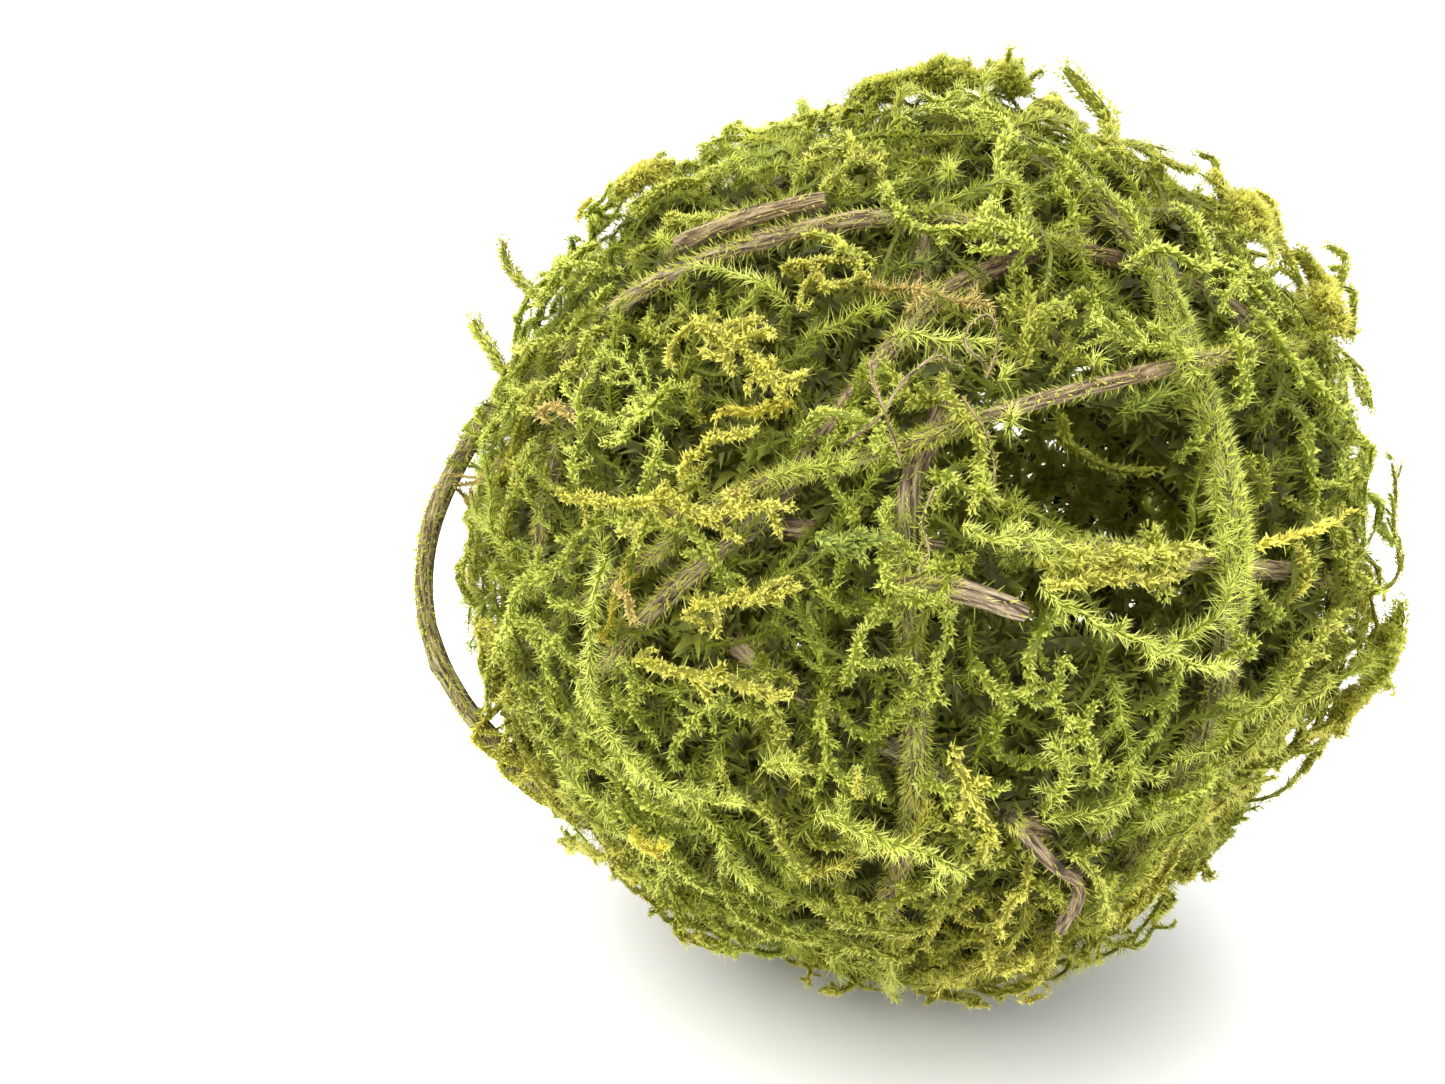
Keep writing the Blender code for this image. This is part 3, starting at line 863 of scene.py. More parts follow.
@dataclass(frozen=True)
class FrondSizes:
    """What the sizes of a habit's fronds are drawn from, in metres.

    crinkle is how unevenly their shoots run, in radians a step.
    """

    length: tuple[float, float]
    half_width: float
    side_length: tuple[float, float]
    side_step: tuple[float, float]
    crinkle: float


CREEPING = FrondSizes((0.024, 0.044), 1.7 * MM, (0.008, 0.014), (0.005, 0.008), 0.12)
FROND_SIZES = {
    Habit.CRINKLED: FrondSizes((0.014, 0.034), 1.45 * MM, (0.004, 0.009), (0.003, 0.006), 0.30),
    Habit.FLUFFY: FrondSizes((0.018, 0.040), 1.3 * MM, (0.005, 0.011), (0.006, 0.014), 0.12),
    Habit.FEATHER: FrondSizes((0.018, 0.032), 1.0 * MM, (0.005, 0.009), (0.0022, 0.0032), 0.10),
    Habit.BRISTLE: FrondSizes((0.009, 0.020), 1.2 * MM, (0.003, 0.006), (0.006, 0.012), 0.10),
    Habit.BURIED: CREEPING,
    Habit.LINING: CREEPING,
}


@dataclass
class Frond:
    """One plant of the net: a main shoot and the side shoots that branch from it.

    side_step is the distance between side shoots, and side_turn the angle at which they leave the main one.
    """

    habit: Habit
    tint: MossTint
    length: float
    half_width: float
    side_length: float
    side_step: float
    crinkle: float
    density: float = 1.0
    side_turn: float = math.radians(50)

    @staticmethod
    def of(habit: Habit, tint: MossTint, rng: np.random.Generator) -> "Frond":
        """Draws a frond of a habit.

        Args:
            habit: How its shoots grow.
            tint: Their colours.
            rng: Where its sizes are drawn from.

        Returns:
            The frond.
        """
        sizes = FROND_SIZES[habit]
        return Frond(
            habit,
            tint,
            length=rng.uniform(*sizes.length),
            half_width=sizes.half_width,
            side_length=rng.uniform(*sizes.side_length),
            side_step=rng.uniform(*sizes.side_step),
            crinkle=sizes.crinkle,
        )


@dataclass(frozen=True)
class Shoot:
    """One shoot that stands out from the rest.

    places holds longitude, latitude and height over the ball in mm, and half_width is in mm. glow is how
    light it is from 0 to 1. Its side shoots are counted, with the length of the longest in mm.
    """

    places: tuple[tuple[float, float, float], ...]
    habit: Habit
    tint: MossTint
    half_width: float
    glow: float = 0.8
    side_shoots: int = 0
    side_length: float = 5.0


SHOOTS = (
    # The straight sprig at the crown
    Shoot(
        ((50, 60, -4), (55, 62.5, -1.5), (57, 64.5, 0.5), (56, 67.5, 2.5), (51.5, 70.3, 5)),
        Habit.CLUB, MossTint.OLIVE, half_width=2.1, glow=0.6,
    ),
    # The left edge
    Shoot(
        ((-62, 35, -3), (-64.5, 35.6, 1), (-67.2, 36.5, 6.0), (-67.4, 37.8, 8.6), (-66.2, 38.6, 8.8)),
        Habit.CLUB, MossTint.OLIVE, half_width=1.2, glow=0.1, side_shoots=2, side_length=2.5,
    ),
    Shoot(
        ((-62, 25.5, -3), (-64, 27, 1), (-67.4, 28.5, 5.5), (-67.7, 30.2, 8)),
        Habit.CLUB, MossTint.OLIVE, half_width=1.6, glow=0.35, side_shoots=3, side_length=3.0,
    ),
    # The right edge
    Shoot(
        ((66, 33, -1), (69, 36.5, 5), (67, 39, 3)),
        Habit.CRINKLED, MossTint.OLIVE, half_width=1.5, glow=0.6, side_shoots=2, side_length=3.0,
    ),
    Shoot(
        ((67, 29, -1), (69.4, 33.4, 3.5), (70, 35, 1)),
        Habit.CRINKLED, MossTint.OLIVE, half_width=1.4, glow=0.6,
    ),
    Shoot(
        ((66, 42, -1), (68.7, 46, 2.5), (67, 48, 1)),
        Habit.CRINKLED, MossTint.YELLOWISH, half_width=1.4, glow=0.7,
    ),
    Shoot(
        ((64, 50, -1), (66.8, 53, 2.5), (66, 55, 1)),
        Habit.CRINKLED, MossTint.OLIVE, half_width=1.2, glow=0.4,
    ),
    # The lower right
    Shoot(
        ((39, -43, -2), (42, -41, 2), (45, -39.8, 1), (45.7, -37.7, 4.6)),
        Habit.CRINKLED, MossTint.OLIVE, half_width=0.9, glow=0.35, side_shoots=3, side_length=4.0,
    ),
    Shoot(
        ((35.8, -12.9, 0), (38.8, -12.5, 2), (42.8, -12.8, 4)),
        Habit.CRINKLED, MossTint.OLIVE, half_width=1.0, glow=0.4, side_shoots=3, side_length=3.0,
    ),
    Shoot(
        ((36.5, -14.0, 0), (39.5, -15.5, 2), (41.9, -17.7, 3)),
        Habit.CRINKLED, MossTint.OLIVE, half_width=0.9, glow=0.35,
    ),
    # Golden and dry bits
    Shoot(
        ((24, -49, 0.5), (27.4, -49.5, 1.2), (31, -49, 1)),
        Habit.CRINKLED, MossTint.GOLDEN, half_width=1.1, glow=0.9, side_shoots=2, side_length=3.0,
    ),
    Shoot(
        ((-27.5, -20, 0.5), (-24.4, -20.7, 1.4), (-22, -19.5, 1)),
        Habit.CRINKLED, MossTint.GOLDEN, half_width=1.5, glow=0.8, side_shoots=5, side_length=4.0,
    ),
    Shoot(
        ((-60, 44.5, 0), (-58.5, 45.8, 1.5), (-56.5, 47.5, 1)),
        Habit.CRINKLED, MossTint.GOLDEN, half_width=1.1, glow=1.0, side_shoots=2, side_length=3.0,
    ),
    Shoot(
        ((-42.8, 21.3, 0), (-38.2, 22.6, 1.5), (-34.5, 21.4, 1.2)),
        Habit.CRINKLED, MossTint.DRY, half_width=1.5, glow=0.95, side_shoots=4, side_length=3.0,
    ),
    Shoot(
        ((-26.1, 7.3, 0.5), (-24, 5.8, 1.5), (-22.8, 3.6, 1)),
        Habit.CRINKLED, MossTint.DRY, half_width=1.3, glow=0.95,
    ),
    Shoot(
        ((-12.2, 15.4, 0.4), (-13.6, 16.4, 1.4), (-15.0, 16.0, 1)),
        Habit.CRINKLED, MossTint.DRY, half_width=0.8, glow=1.0,
    ),
    # A bluish spray on the front and a soft cord down the left
    Shoot(
        ((-6.6, 13.2, 0), (-3.5, 12.5, 0.8), (-0.2, 13.5, 0.4)),
        Habit.FEATHER, MossTint.BLUISH, half_width=1.6, glow=0.5, side_shoots=5,
    ),
    Shoot(
        ((-27.0, 9.5, 0), (-27.4, 7.1, 2), (-27.8, 1.0, 2.6), (-27.6, -5.1, 2)),
        Habit.FLUFFY, MossTint.BRIGHT, half_width=1.6, glow=1.0,
    ),
    # A broad spray on the brow
    Shoot(
        ((-23.5, 32.8, -1), (-19, 31.0, 1.5), (-14, 28.2, 2.0), (-9.2, 25.2, 1.2)),
        Habit.CRINKLED, MossTint.YELLOWISH, half_width=1.6, glow=0.85, side_shoots=15, side_length=9.0,
    ),
    # Under the window and along its sill
    Shoot(
        ((12.4, 9.5, 0), (17.7, 5.8, 1.5), (21.0, 4.9, 0.8), (24.8, 2.6, 2), (30.8, 1.2, 1.0)),
        Habit.FLUFFY, MossTint.BRIGHT, half_width=1.2, glow=0.85, side_shoots=8, side_length=5.5,
    ),
    Shoot(
        ((34, 11.5, -1), (37, 12, 1.2), (39.5, 12.5, 2.2), (42.2, 13.0, 2.6)),
        Habit.FEATHER, MossTint.GOLDEN, half_width=1.3, glow=0.95,
    ),
    Shoot(
        ((41.5, 12.8, 2.4), (44, 13.2, 3), (45.8, 13.3, 3.2)),
        Habit.FEATHER, MossTint.GOLDEN, half_width=0.5, glow=0.95,
    ),
    Shoot(
        ((5.7, 14.4, 0), (9.0, 13.4, 0.8), (12.5, 13.2, 0.2), (16.8, 12.0, 1)),
        Habit.FLUFFY, MossTint.BRIGHT, half_width=1.2, glow=0.8, side_shoots=7, side_length=5.5,
    ),
    Shoot(
        ((15, 11.0, 1), (18.5, 12.2, 2.0), (21.5, 11.6, 1.6), (24.5, 12.4, 2.2), (28.4, 11.3, 0.8)),
        Habit.CRINKLED, MossTint.OLIVE, half_width=1.5, glow=0.75, side_shoots=12,
    ),
    Shoot(
        ((13, 9.5, 0.5), (17.0, 9.8, 1.6), (21, 10.0, 1.4), (25.5, 9.8, 0.6)),
        Habit.CRINKLED, MossTint.YELLOWISH, half_width=1.4, glow=0.7, side_shoots=10, side_length=4.5,
    ),
    # Behind the window's rim
    Shoot(
        ((7.5, 17.6, -6), (10.4, 16.9, -9), (13.0, 16.7, -11), (15.6, 15.0, -11), (17.9, 13.2, -9)),
        Habit.FLUFFY, MossTint.BRIGHT, half_width=1.8, glow=0.85,
    ),
    Shoot(
        ((9.5, 14.0, -5), (11.5, 15.4, -8), (12.2, 18.2, -10)),
        Habit.FLUFFY, MossTint.BRIGHT, half_width=1.5, glow=0.8,
    ),
    Shoot(
        ((16, 24.5, -8), (20.5, 22.8, -13), (25, 20.5, -14), (29, 19.8, -9)),
        Habit.CRINKLED, MossTint.OLIVE, half_width=1.5, glow=0.8,
    ),
    # The front, left of the window and below it
    Shoot(
        ((-23.0, 0.2, 1), (-17.7, 0.4, 2), (-11.1, -0.1, 2), (-8.0, -0.7, 1)),
        Habit.CRINKLED, MossTint.YELLOWISH, half_width=1.6, glow=0.9, side_shoots=9,
    ),
    Shoot(
        ((-18.6, 4.9, 0.5), (-14.2, 7.1, 1.5), (-11.3, 7.2, 1.6), (-7.6, 8.7, 1)),
        Habit.CRINKLED, MossTint.YELLOWISH, half_width=1.4, glow=0.85, side_shoots=8,
    ),
    Shoot(
        ((-34.9, 14.1, 1), (-26.5, 14.4, 2), (-19.9, 15.2, 2), (-16.0, 14.4, 2), (-8.3, 15.6, 1)),
        Habit.CRINKLED, MossTint.YELLOWISH, half_width=1.5, glow=0.85, side_shoots=12,
    ),
    Shoot(
        ((-20.0, 17.0, 0), (-18.5, 19.5, 1.5), (-16.5, 21.0, 2), (-13, 21.3, 1)),
        Habit.CRINKLED, MossTint.YELLOWISH, half_width=1.4, glow=0.85, side_shoots=6,
    ),
    Shoot(
        ((5.5, -5, 0), (7.5, -8.5, 1.5), (9.0, -12, 2), (9.6, -16, 1)),
        Habit.CRINKLED, MossTint.YELLOWISH, half_width=1.5, glow=0.85, side_shoots=6, side_length=4.0,
    ),
    Shoot(
        ((-6.0, -11.5, 1), (-1.5, -13.0, 2), (3, -14.2, 2), (7.5, -17.5, 1)),
        Habit.FLUFFY, MossTint.BRIGHT, half_width=1.5, glow=0.9, side_shoots=7,
    ),
    Shoot(
        ((-31, -3, 1), (-26, -8, 2), (-20, -11.5, 2), (-13, -12, 1)),
        Habit.FLUFFY, MossTint.BRIGHT, half_width=1.5, glow=0.85, side_shoots=8,
    ),
    # Tufts that stand up
    Shoot(
        ((9.5, 27, -2), (10, 27.3, 0), (10.5, 27.6, 1.8)),
        Habit.BRISTLE, MossTint.BRIGHT, half_width=1.2, glow=1.0,
    ),
    Shoot(
        ((10.2, 22.6, -2), (10.4, 23.2, 0), (10.4, 24, 1.8)),
        Habit.BRISTLE, MossTint.BRIGHT, half_width=1.2, glow=1.0,
    ),
    Shoot(
        ((19.2, 28.2, -2.5), (19.4, 28.5, -0.5), (19.5, 28.8, 1.0)),
        Habit.BRISTLE, MossTint.BRIGHT, half_width=1.2, glow=1.0,
    ),
    Shoot(
        ((-2.2, -10, 0), (-2.0, -9, 1.5), (-2.2, -6.5, 2.6)),
        Habit.CRINKLED, MossTint.YELLOWISH, half_width=0.9, glow=0.9,
    ),
    Shoot(
        ((-11, -8.0, 0), (-9.6, -7.2, 1.4), (-7.6, -7.0, 2.4)),
        Habit.BRISTLE, MossTint.BRIGHT, half_width=1.2, glow=1.0,
    ),
)


@dataclass(frozen=True)
class Lump:
    """A lump of curled shoots that stands out of the net.

    longitude and latitude give its middle. Its half width and its height over the ball are in mm, and shoots
    counts them.
    """

    longitude: float
    latitude: float
    half_width: float
    height: float
    shoots: int
    tint: MossTint


LUMPS = (
    Lump(longitude=-4, latitude=77.5, half_width=5, height=1.2, shoots=10, tint=MossTint.OLIVE),
    Lump(longitude=14, latitude=76.5, half_width=5.5, height=3.0, shoots=18, tint=MossTint.OLIVE),
    Lump(longitude=24, latitude=75, half_width=4, height=-0.5, shoots=7, tint=MossTint.YELLOWISH),
    Lump(longitude=43, latitude=73.5, half_width=3.0, height=4.2, shoots=10, tint=MossTint.OLIVE),
    Lump(longitude=23, latitude=11.6, half_width=3.2, height=1.4, shoots=7, tint=MossTint.OLIVE),
    Lump(longitude=17, latitude=11.0, half_width=3.0, height=1.0, shoots=6, tint=MossTint.YELLOWISH),
    Lump(longitude=63, latitude=-3, half_width=7, height=1.4, shoots=9, tint=MossTint.OLIVE),
    Lump(longitude=64, latitude=-11, half_width=6, height=1.0, shoots=7, tint=MossTint.YELLOWISH),
    Lump(longitude=-55, latitude=52, half_width=7, height=0.8, shoots=7, tint=MossTint.YELLOWISH),
    Lump(longitude=58, latitude=45, half_width=8, height=0.4, shoots=9, tint=MossTint.YELLOWISH),
    Lump(longitude=62, latitude=33, half_width=7, height=0.8, shoots=8, tint=MossTint.YELLOWISH),
)


@dataclass(frozen=True)
class Rootlet:
    """A thin curly rootlet: its radius in metres, and longitude, latitude and height in mm of its places."""

    name: str
    radius: float
    places: tuple[tuple[float, float, float], ...]


ROOTLETS = (
    Rootlet(
        name="rootlet_curl",
        radius=0.24 * MM,
        places=(
            (8.2, 26.8, 0.5), (9.3, 29.5, 2), (8.4, 32.0, 2.6), (6.6, 31.2, 2.2),
            (6.2, 29.4, 2), (8.0, 27.8, 1.5),
        ),
    ),
    Rootlet(
        name="rootlet_left",
        radius=0.24 * MM,
        places=((-4.6, 21.2, -1), (-1.5, 23.2, 1.4), (0.3, 25.9, 1.8), (3.5, 28.4, 1.8), (6.2, 27.6, 0.8)),
    ),
    Rootlet(
        name="rootlet_down",
        radius=0.22 * MM,
        places=((8.3, 16.6, -1), (8.6, 19.2, 0.8), (7.6, 22.2, 1.5), (5.8, 25.0, 1.4)),
    ),
    Rootlet(
        name="rootlet_front",
        radius=0.3 * MM,
        places=((0.6, 19.6, -1), (-1.0, 23.5, 1.2), (-2.2, 26.2, 1.6), (-2.7, 28.4, 0.4)),
    ),
    Rootlet(
        name="rootlet_low",
        radius=0.2 * MM,
        places=((3.4, 17.5, 0.5), (2.4, 14.5, 2), (3.0, 12.2, 2.2), (2.2, 10.6, 1)),
    ),
)


class Patch(Enum):
    """What varies over the ball in patches."""

    SOFTNESS = 0
    HUE = 1
    OPENNESS = 2


@dataclass
class MossNet:
    """All the moss of the orb: fronds laid over the ball until no place is far from one.

    The outer moss keeps clear_reach away from bare wood, and no frond is aimed at a place within the margin
    of that or of a hollow. Shoots that rise past highest are pressed towards it. step is the distance between
    the points of a shoot, and cover how far its leaves reach to each side. The lining of the far wall is
    far_density times as leafy. Shoots that face the front have most detail, and one is lighter by glow_rise
    for each metre that it lies higher than usual_depth under the ball's radius, which paints light on the
    higher shoots and shade on the deeper ones. The net is open round open_at and closed round closed_at,
    over so many degrees.
    """

    ball: Ball
    rng: np.random.Generator
    wood: WoodField
    clear_reach: float = 0.0026
    margin: float = 0.0008
    highest: float = 0.2 * MM
    step: float = 1.4 * MM
    cover: float = 0.0012
    far_density: float = 1.65
    front: tuple[float, float] = (0, 12)
    least_detail: float = 0.48
    front_detail: float = 0.62
    glow_rise: float = 70
    usual_depth: float = 3.5 * MM
    open_at: tuple[float, float] = (48, 22)
    open_degrees: float = 38
    closed_at: tuple[float, float] = (-30, -20)
    closed_degrees: float = 40
    flow_waves: int = 7
    flow_rate: float = 2.6
    colour_waves: int = 9
    colour_rate: float = 4.2
    cords: list[Cord] = field(default_factory=list)
    planted: list[np.ndarray] = field(default_factory=list)

    def __post_init__(self) -> None:
        """Draws the waves that the net's lie and its patches follow."""
        self.axes = unit(self.rng.normal(size=(self.flow_waves, 3)))
        self.waves = self.rng.normal(0, self.flow_rate, (self.flow_waves, 3))
        self.phases = self.rng.uniform(0, FULL_TURN, self.flow_waves)
        self.patch_waves = self.rng.normal(0, self.colour_rate, (self.colour_waves, 3))
        self.patch_phases = self.rng.uniform(0, FULL_TURN, (len(Patch), self.colour_waves))

    def flow(self, out: np.ndarray) -> np.ndarray:
        """The direction along the ball in which shoots tend to lie at each place."""
        weights = np.cos(out @ self.waves.T + self.phases)
        return unit(np.cross(weights @ self.axes, out))

    def patch(self, out: np.ndarray, which: Patch) -> np.ndarray:
        """A value of about -1 to 1 that varies smoothly over the ball, in patches about 25 mm across."""
        waves = np.sin(out @ self.patch_waves.T + self.patch_phases[which.value])
        return np.sum(waves, -1) / 2.6

    def openness(self, out: np.ndarray) -> np.ndarray:
        """How open the net is.

        Args:
            out: Rows of unit directions from the ball's centre.

        Returns:
            A value for each: 1 at the upper right of the front, near 0 at the lower left.
        """
        away = np.degrees(np.arccos(np.clip(out @ direction(*self.open_at), -1, 1)))
        closed = np.degrees(np.arccos(np.clip(out @ direction(*self.closed_at), -1, 1)))
        patches = 0.25 * (1 + self.patch(out, Patch.OPENNESS))
        patches = patches * (1 - np.exp(-((closed / self.closed_degrees) ** 2)))
        return np.exp(-((away / self.open_degrees) ** 2)) + patches

    def walk(
        self,
        start: np.ndarray,
        heading: np.ndarray,
        length: np.ndarray,
        bend: np.ndarray,
        curl: np.ndarray,
        crinkle: float,
    ) -> np.ndarray:
        """Walks along the unit ball from several places at once.

        Args:
            start: Rows of unit directions where the walks start.
            heading: Rows of directions along the ball.
            length: Each walk's length in metres.
            bend: Each walk's turn over its whole length, in radians.
            curl: Each walk's further turn, which grows over its last third.
            crinkle: How unevenly it runs, in radians a step.

        Returns:
            An array of walk, step and coordinate.
        """
        steps = max(2, math.ceil(float(np.max(length)) / self.step))
        out, way = start, heading
        places = [out]
        for k in range(steps):
            share = (k + 1) / steps
            # The curl gets tighter from two thirds of the way on, and its factors make it add up to the whole
            curled = curl * 3 / steps * max(0.0, share - 0.66) * 6
            turn = (bend / steps + curled + self.rng.normal(0, crinkle, len(start)))[:, None]
            way = np.cos(turn) * way + np.sin(turn) * np.cross(out, way)
            out = unit(out + way * (length / steps / self.ball.radius)[:, None])
            way = unit(way - np.sum(way * out, 1, keepdims=True) * out)
            places.append(out)
        return np.stack(places, 1)

    def cut(self, path: np.ndarray, layer: Layer) -> int:
        """Finds where a path has to end.

        Args:
            path: Rows of unit directions.
            layer: The layer that it belongs to.

        Returns:
            How many of its points come before it enters a hollow or crosses bare wood.
        """
        free = self.ball.outside_hollows(path, layer.buried) - layer.setback
        if not layer.buried:
            free = np.minimum(free, self.wood.clear_by(path, self.ball.radius) - self.clear_reach)
        blocked = np.flatnonzero(free < 0)
        return int(blocked[0]) if len(blocked) else len(path)

    def lay(self, path: np.ndarray, heights: np.ndarray, frond: Frond, share: float, glow: float) -> bool:
        """Lays one cord.

        Args:
            path: Its unit directions from the ball's centre.
            heights: Its heights from the ball's radius.
            frond: The frond that it belongs to.
            share: Its half width as a share of the frond's.
            glow: How light it is from 0 to 1, before its height counts.

        Returns:
            Whether the path was long enough.
        """
        if len(path) < 3:
            return False
        width, detail = frond.half_width * share, 1.0
        if frond.habit not in UNSEEN_HABITS:
            heights = self.wood.climb(path, heights, width, self.ball.radius)
            # Painted light and shade: a shoot that lies higher than usual is lighter, and a deeper one darker
            glow += self.glow_rise * float(heights.mean() + self.usual_depth)
            facing = smooth_step(path[len(path) // 2] @ direction(*self.front), -0.4, 0.2)
            detail = self.least_detail + self.front_detail * float(facing)
        places = self.ball.shaped(path * (self.ball.radius + heights)[:, None])
        glow = min(max(glow, 0.0), 1.0)
        self.cords.append(Cord(places, width, frond.habit, frond.tint, glow, frond.density, detail))
        return True

    def grow(self, target: np.ndarray, frond: Frond, layer: Layer) -> np.ndarray:
        """Grows one frond across a place.

        Args:
            target: The unit direction of the place.
            frond: What grows.
            layer: The layer it belongs to.

        Returns:
            Unit directions of all its points, or no rows if it had no room.
        """
        rng = self.rng
        lie = self.flow(target[None])[0]
        turn = rng.normal(0, 0.9) + (math.pi if rng.uniform() < 0.5 else 0)
        heading = (math.cos(turn) * lie + math.sin(turn) * np.cross(target, lie))[None]
        before = rng.uniform(0.25, 0.6)
        bend = rng.normal(0, 0.7)
        after = 1 - before
        back = self.walk(
            start=target[None],
            heading=-heading,
            length=np.array([before * frond.length]),
            bend=-np.array([bend * before]),
            curl=np.zeros(1),
            crinkle=frond.crinkle,
        )[0]
        ahead = self.walk(
            start=target[None],
            heading=heading,
            length=np.array([after * frond.length]),
            bend=np.array([bend * after]),
            curl=rng.normal(0, 1.2, 1),
            crinkle=frond.crinkle,
        )[0]
        back, ahead = back[: self.cut(back, layer)], ahead[: self.cut(ahead, layer)]
        path = np.concatenate([back[:0:-1], ahead]) if len(ahead) else back[::-1]
        if len(path) < 5:
            return np.zeros((0, 3))
        heights = self.rise(len(path), frond, layer)
        glow = rng.uniform(*layer.glow)
        if not self.lay(path, heights, frond, 1.0, glow):
            return np.zeros((0, 3))
        laid = [path]
        count = int(len(path) * self.step / frond.side_step)
        if count > 1:
            laid += self.branch(path, heights, frond, layer, count, glow)
        return np.concatenate(laid)

    def rise(self, count: int, frond: Frond, layer: Layer) -> np.ndarray:
        """Draws how a main shoot rises from its root, lifts its end and waves up and down.

        Args:
            count: How many points it has.
            frond: The frond that it belongs to.
            layer: The layer that it belongs to.

        Returns:
            Its heights from the ball's radius.
        """
        rng = self.rng
        share = np.linspace(0, 1, count)
        level = layer.height + rng.normal(0, layer.spread)
        # About one shoot in six lifts its end well out of the net
        lift = rng.uniform(-0.001, 0.002) + (rng.uniform(0.001, 0.004) if rng.uniform() < 0.16 else 0)
        if layer.buried:
            lift = rng.uniform(-0.001, 0.001)
        elif frond.habit is Habit.BRISTLE:
            lift += rng.uniform(0.001, 0.003)
        heights = level - layer.root_depth * np.exp(-share * 9) + lift * share**3
        wave = rng.uniform(0.0003, 0.0014) * (0.4 if layer.buried else 1.0)
        heights = heights + wave * np.sin(share * rng.uniform(5, 14) + rng.uniform(0, 6))
        return np.minimum(heights, self.highest + 0.3 * (heights - self.highest))

    def branch(
        self, path: np.ndarray, heights: np.ndarray, frond: Frond, layer: Layer, count: int, glow: float
    ) -> list[np.ndarray]:
        """Grows side shoots from a main shoot, to alternate sides.

        Args:
            path: The main shoot's unit directions.
            heights: Its heights from the ball's radius.
            frond: The frond that they belong to.
            layer: The layer that they belong to.
            count: How many side shoots there are.
            glow: How light the main shoot is from 0 to 1.

        Returns:
            The unit directions of each side shoot.
        """
        rng = self.rng
        # A feather's side shoots stand in even rows, and all others are loose
        loose = 0.0 if frond.habit is Habit.FEATHER else 1.0
        at = (np.arange(count) + rng.uniform(0.2 - 0.5 * loose, 0.8 + 0.5 * loose, count)) / count
        at = np.clip(at, 0.03, 0.96)
        index = np.minimum((at * (len(path) - 1)).astype(int), len(path) - 2)
        ways = unit(path[index + 1] - path[index])
        sides = np.where(np.arange(count) % 2 == 0, 1, -1)
        turns = sides * (frond.side_turn + rng.normal(0, 0.14 + 0.22 * loose, count))
        headings = np.cos(turns)[:, None] * ways + np.sin(turns)[:, None] * np.cross(path[index], ways)
        profile = np.interp(at, *SIDE_PROFILE)
        lengths = frond.side_length * profile * np.exp(rng.normal(-0.05, 0.14 + 0.25 * loose, count))
        walks = self.walk(
            start=path[index],
            heading=headings,
            length=lengths,
            bend=-sides * rng.uniform(-0.1, 0.9, count),
            curl=rng.normal(0, 0.5 + 0.9 * loose, count),
            crinkle=frond.crinkle,
        )
        laid = []
        for walk, start, length in zip(walks, heights[index], lengths):
            end = self.cut(walk, layer)
            if end < 3 or length < SHORTEST_SIDE_SHOOT:
                continue
            share = np.linspace(0, 1, len(walk))[:end]
            # Most sink a little towards their end, and about one in eight rises
            slope = rng.normal(-0.0004, 0.0011) + (0.0018 if rng.uniform() < 0.12 * loose else 0)
            rise = start + slope * share**1.5 + rng.uniform(0, 0.0004) * np.sin(share * 9)
            if self.lay(walk[:end], rise, frond, rng.uniform(0.62, 0.9), glow * rng.uniform(0.85, 1.05)):
                laid.append(walk[:end])
        return laid

    def plant(self, shoot: Shoot) -> None:
        """Lays one shoot that stands out, slightly wavy, with its side shoots.

        Args:
            shoot: The shoot.
        """
        line = self.ball.line_through(shoot.places, self.step)
        along = np.arange(len(line)) * self.step
        ways = unit(np.gradient(line, axis=0))
        wave = 0.5 * MM * np.sin(along / (1.3 * MM) + self.rng.uniform(0, 6)) * np.sin(along / (3.1 * MM))
        line = line + np.cross(unit(line), ways) * wave[:, None] + self.rng.normal(0, 0.22 * MM, line.shape)
        path, heights = unit(line), np.linalg.norm(line, axis=1) - self.ball.radius
        frond = Frond(
            shoot.habit,
            shoot.tint,
            length=0.0,
            half_width=shoot.half_width * MM,
            side_length=shoot.side_length * MM,
            side_step=0.0,
            crinkle=0.25,
        )
        self.lay(path, heights, frond, 1.0, shoot.glow)
        self.planted.append(path)
        if shoot.side_shoots:
            self.planted += self.branch(path, heights, frond, OUTER, shoot.side_shoots, shoot.glow)

    def heap(self, lump: Lump) -> None:
        """Lays the curled shoots of one lump, each in an arch over its middle.

        Args:
            lump: The lump.
        """
        rng, out = self.rng, direction(lump.longitude, lump.latitude)
        half_width = lump.half_width * MM
        east = unit(np.cross(out, DOWN))
        north = np.cross(east, out)
        frond = Frond(
            Habit.CLUB,
            lump.tint,
            length=0.0,
            half_width=1.25 * MM,
            side_length=4 * MM,
            side_step=0.0,
            crinkle=0.32,
        )
        for k in range(lump.shoots):
            turn, far = k * GOLDEN_TURN, math.sqrt((k + 0.5) / lump.shoots) * 0.8 * lump.half_width * MM
            start = unit(out * self.ball.radius + far * (math.cos(turn) * east + math.sin(turn) * north))
            aim = unit(out - start * (out @ start) + 0.4 * rng.normal(0, 0.1, 3))
            path = self.walk(
                start=start[None],
                heading=aim[None],
                length=np.array([rng.uniform(1.2, 2.2) * lump.half_width * MM]),
                bend=rng.normal(0, 1.6, 1),
                curl=rng.normal(0, 1.5, 1),
                crinkle=frond.crinkle,
            )[0]
            away = np.arccos(np.clip(path @ out, -1, 1)) * self.ball.radius / half_width
            rise = np.exp(-(away**2)) * lump.height * MM * rng.uniform(0.0, 1.0)
            arch = np.sin(np.linspace(0.25, rng.uniform(1.9, 2.9), len(path)))
            heights = -3 * MM + (rise + 3 * MM) * arch
            self.lay(path, heights, frond, 1.0, rng.uniform(0.2, 0.6))
            self.branch(path, heights, frond, OUTER, 3, 0.5)

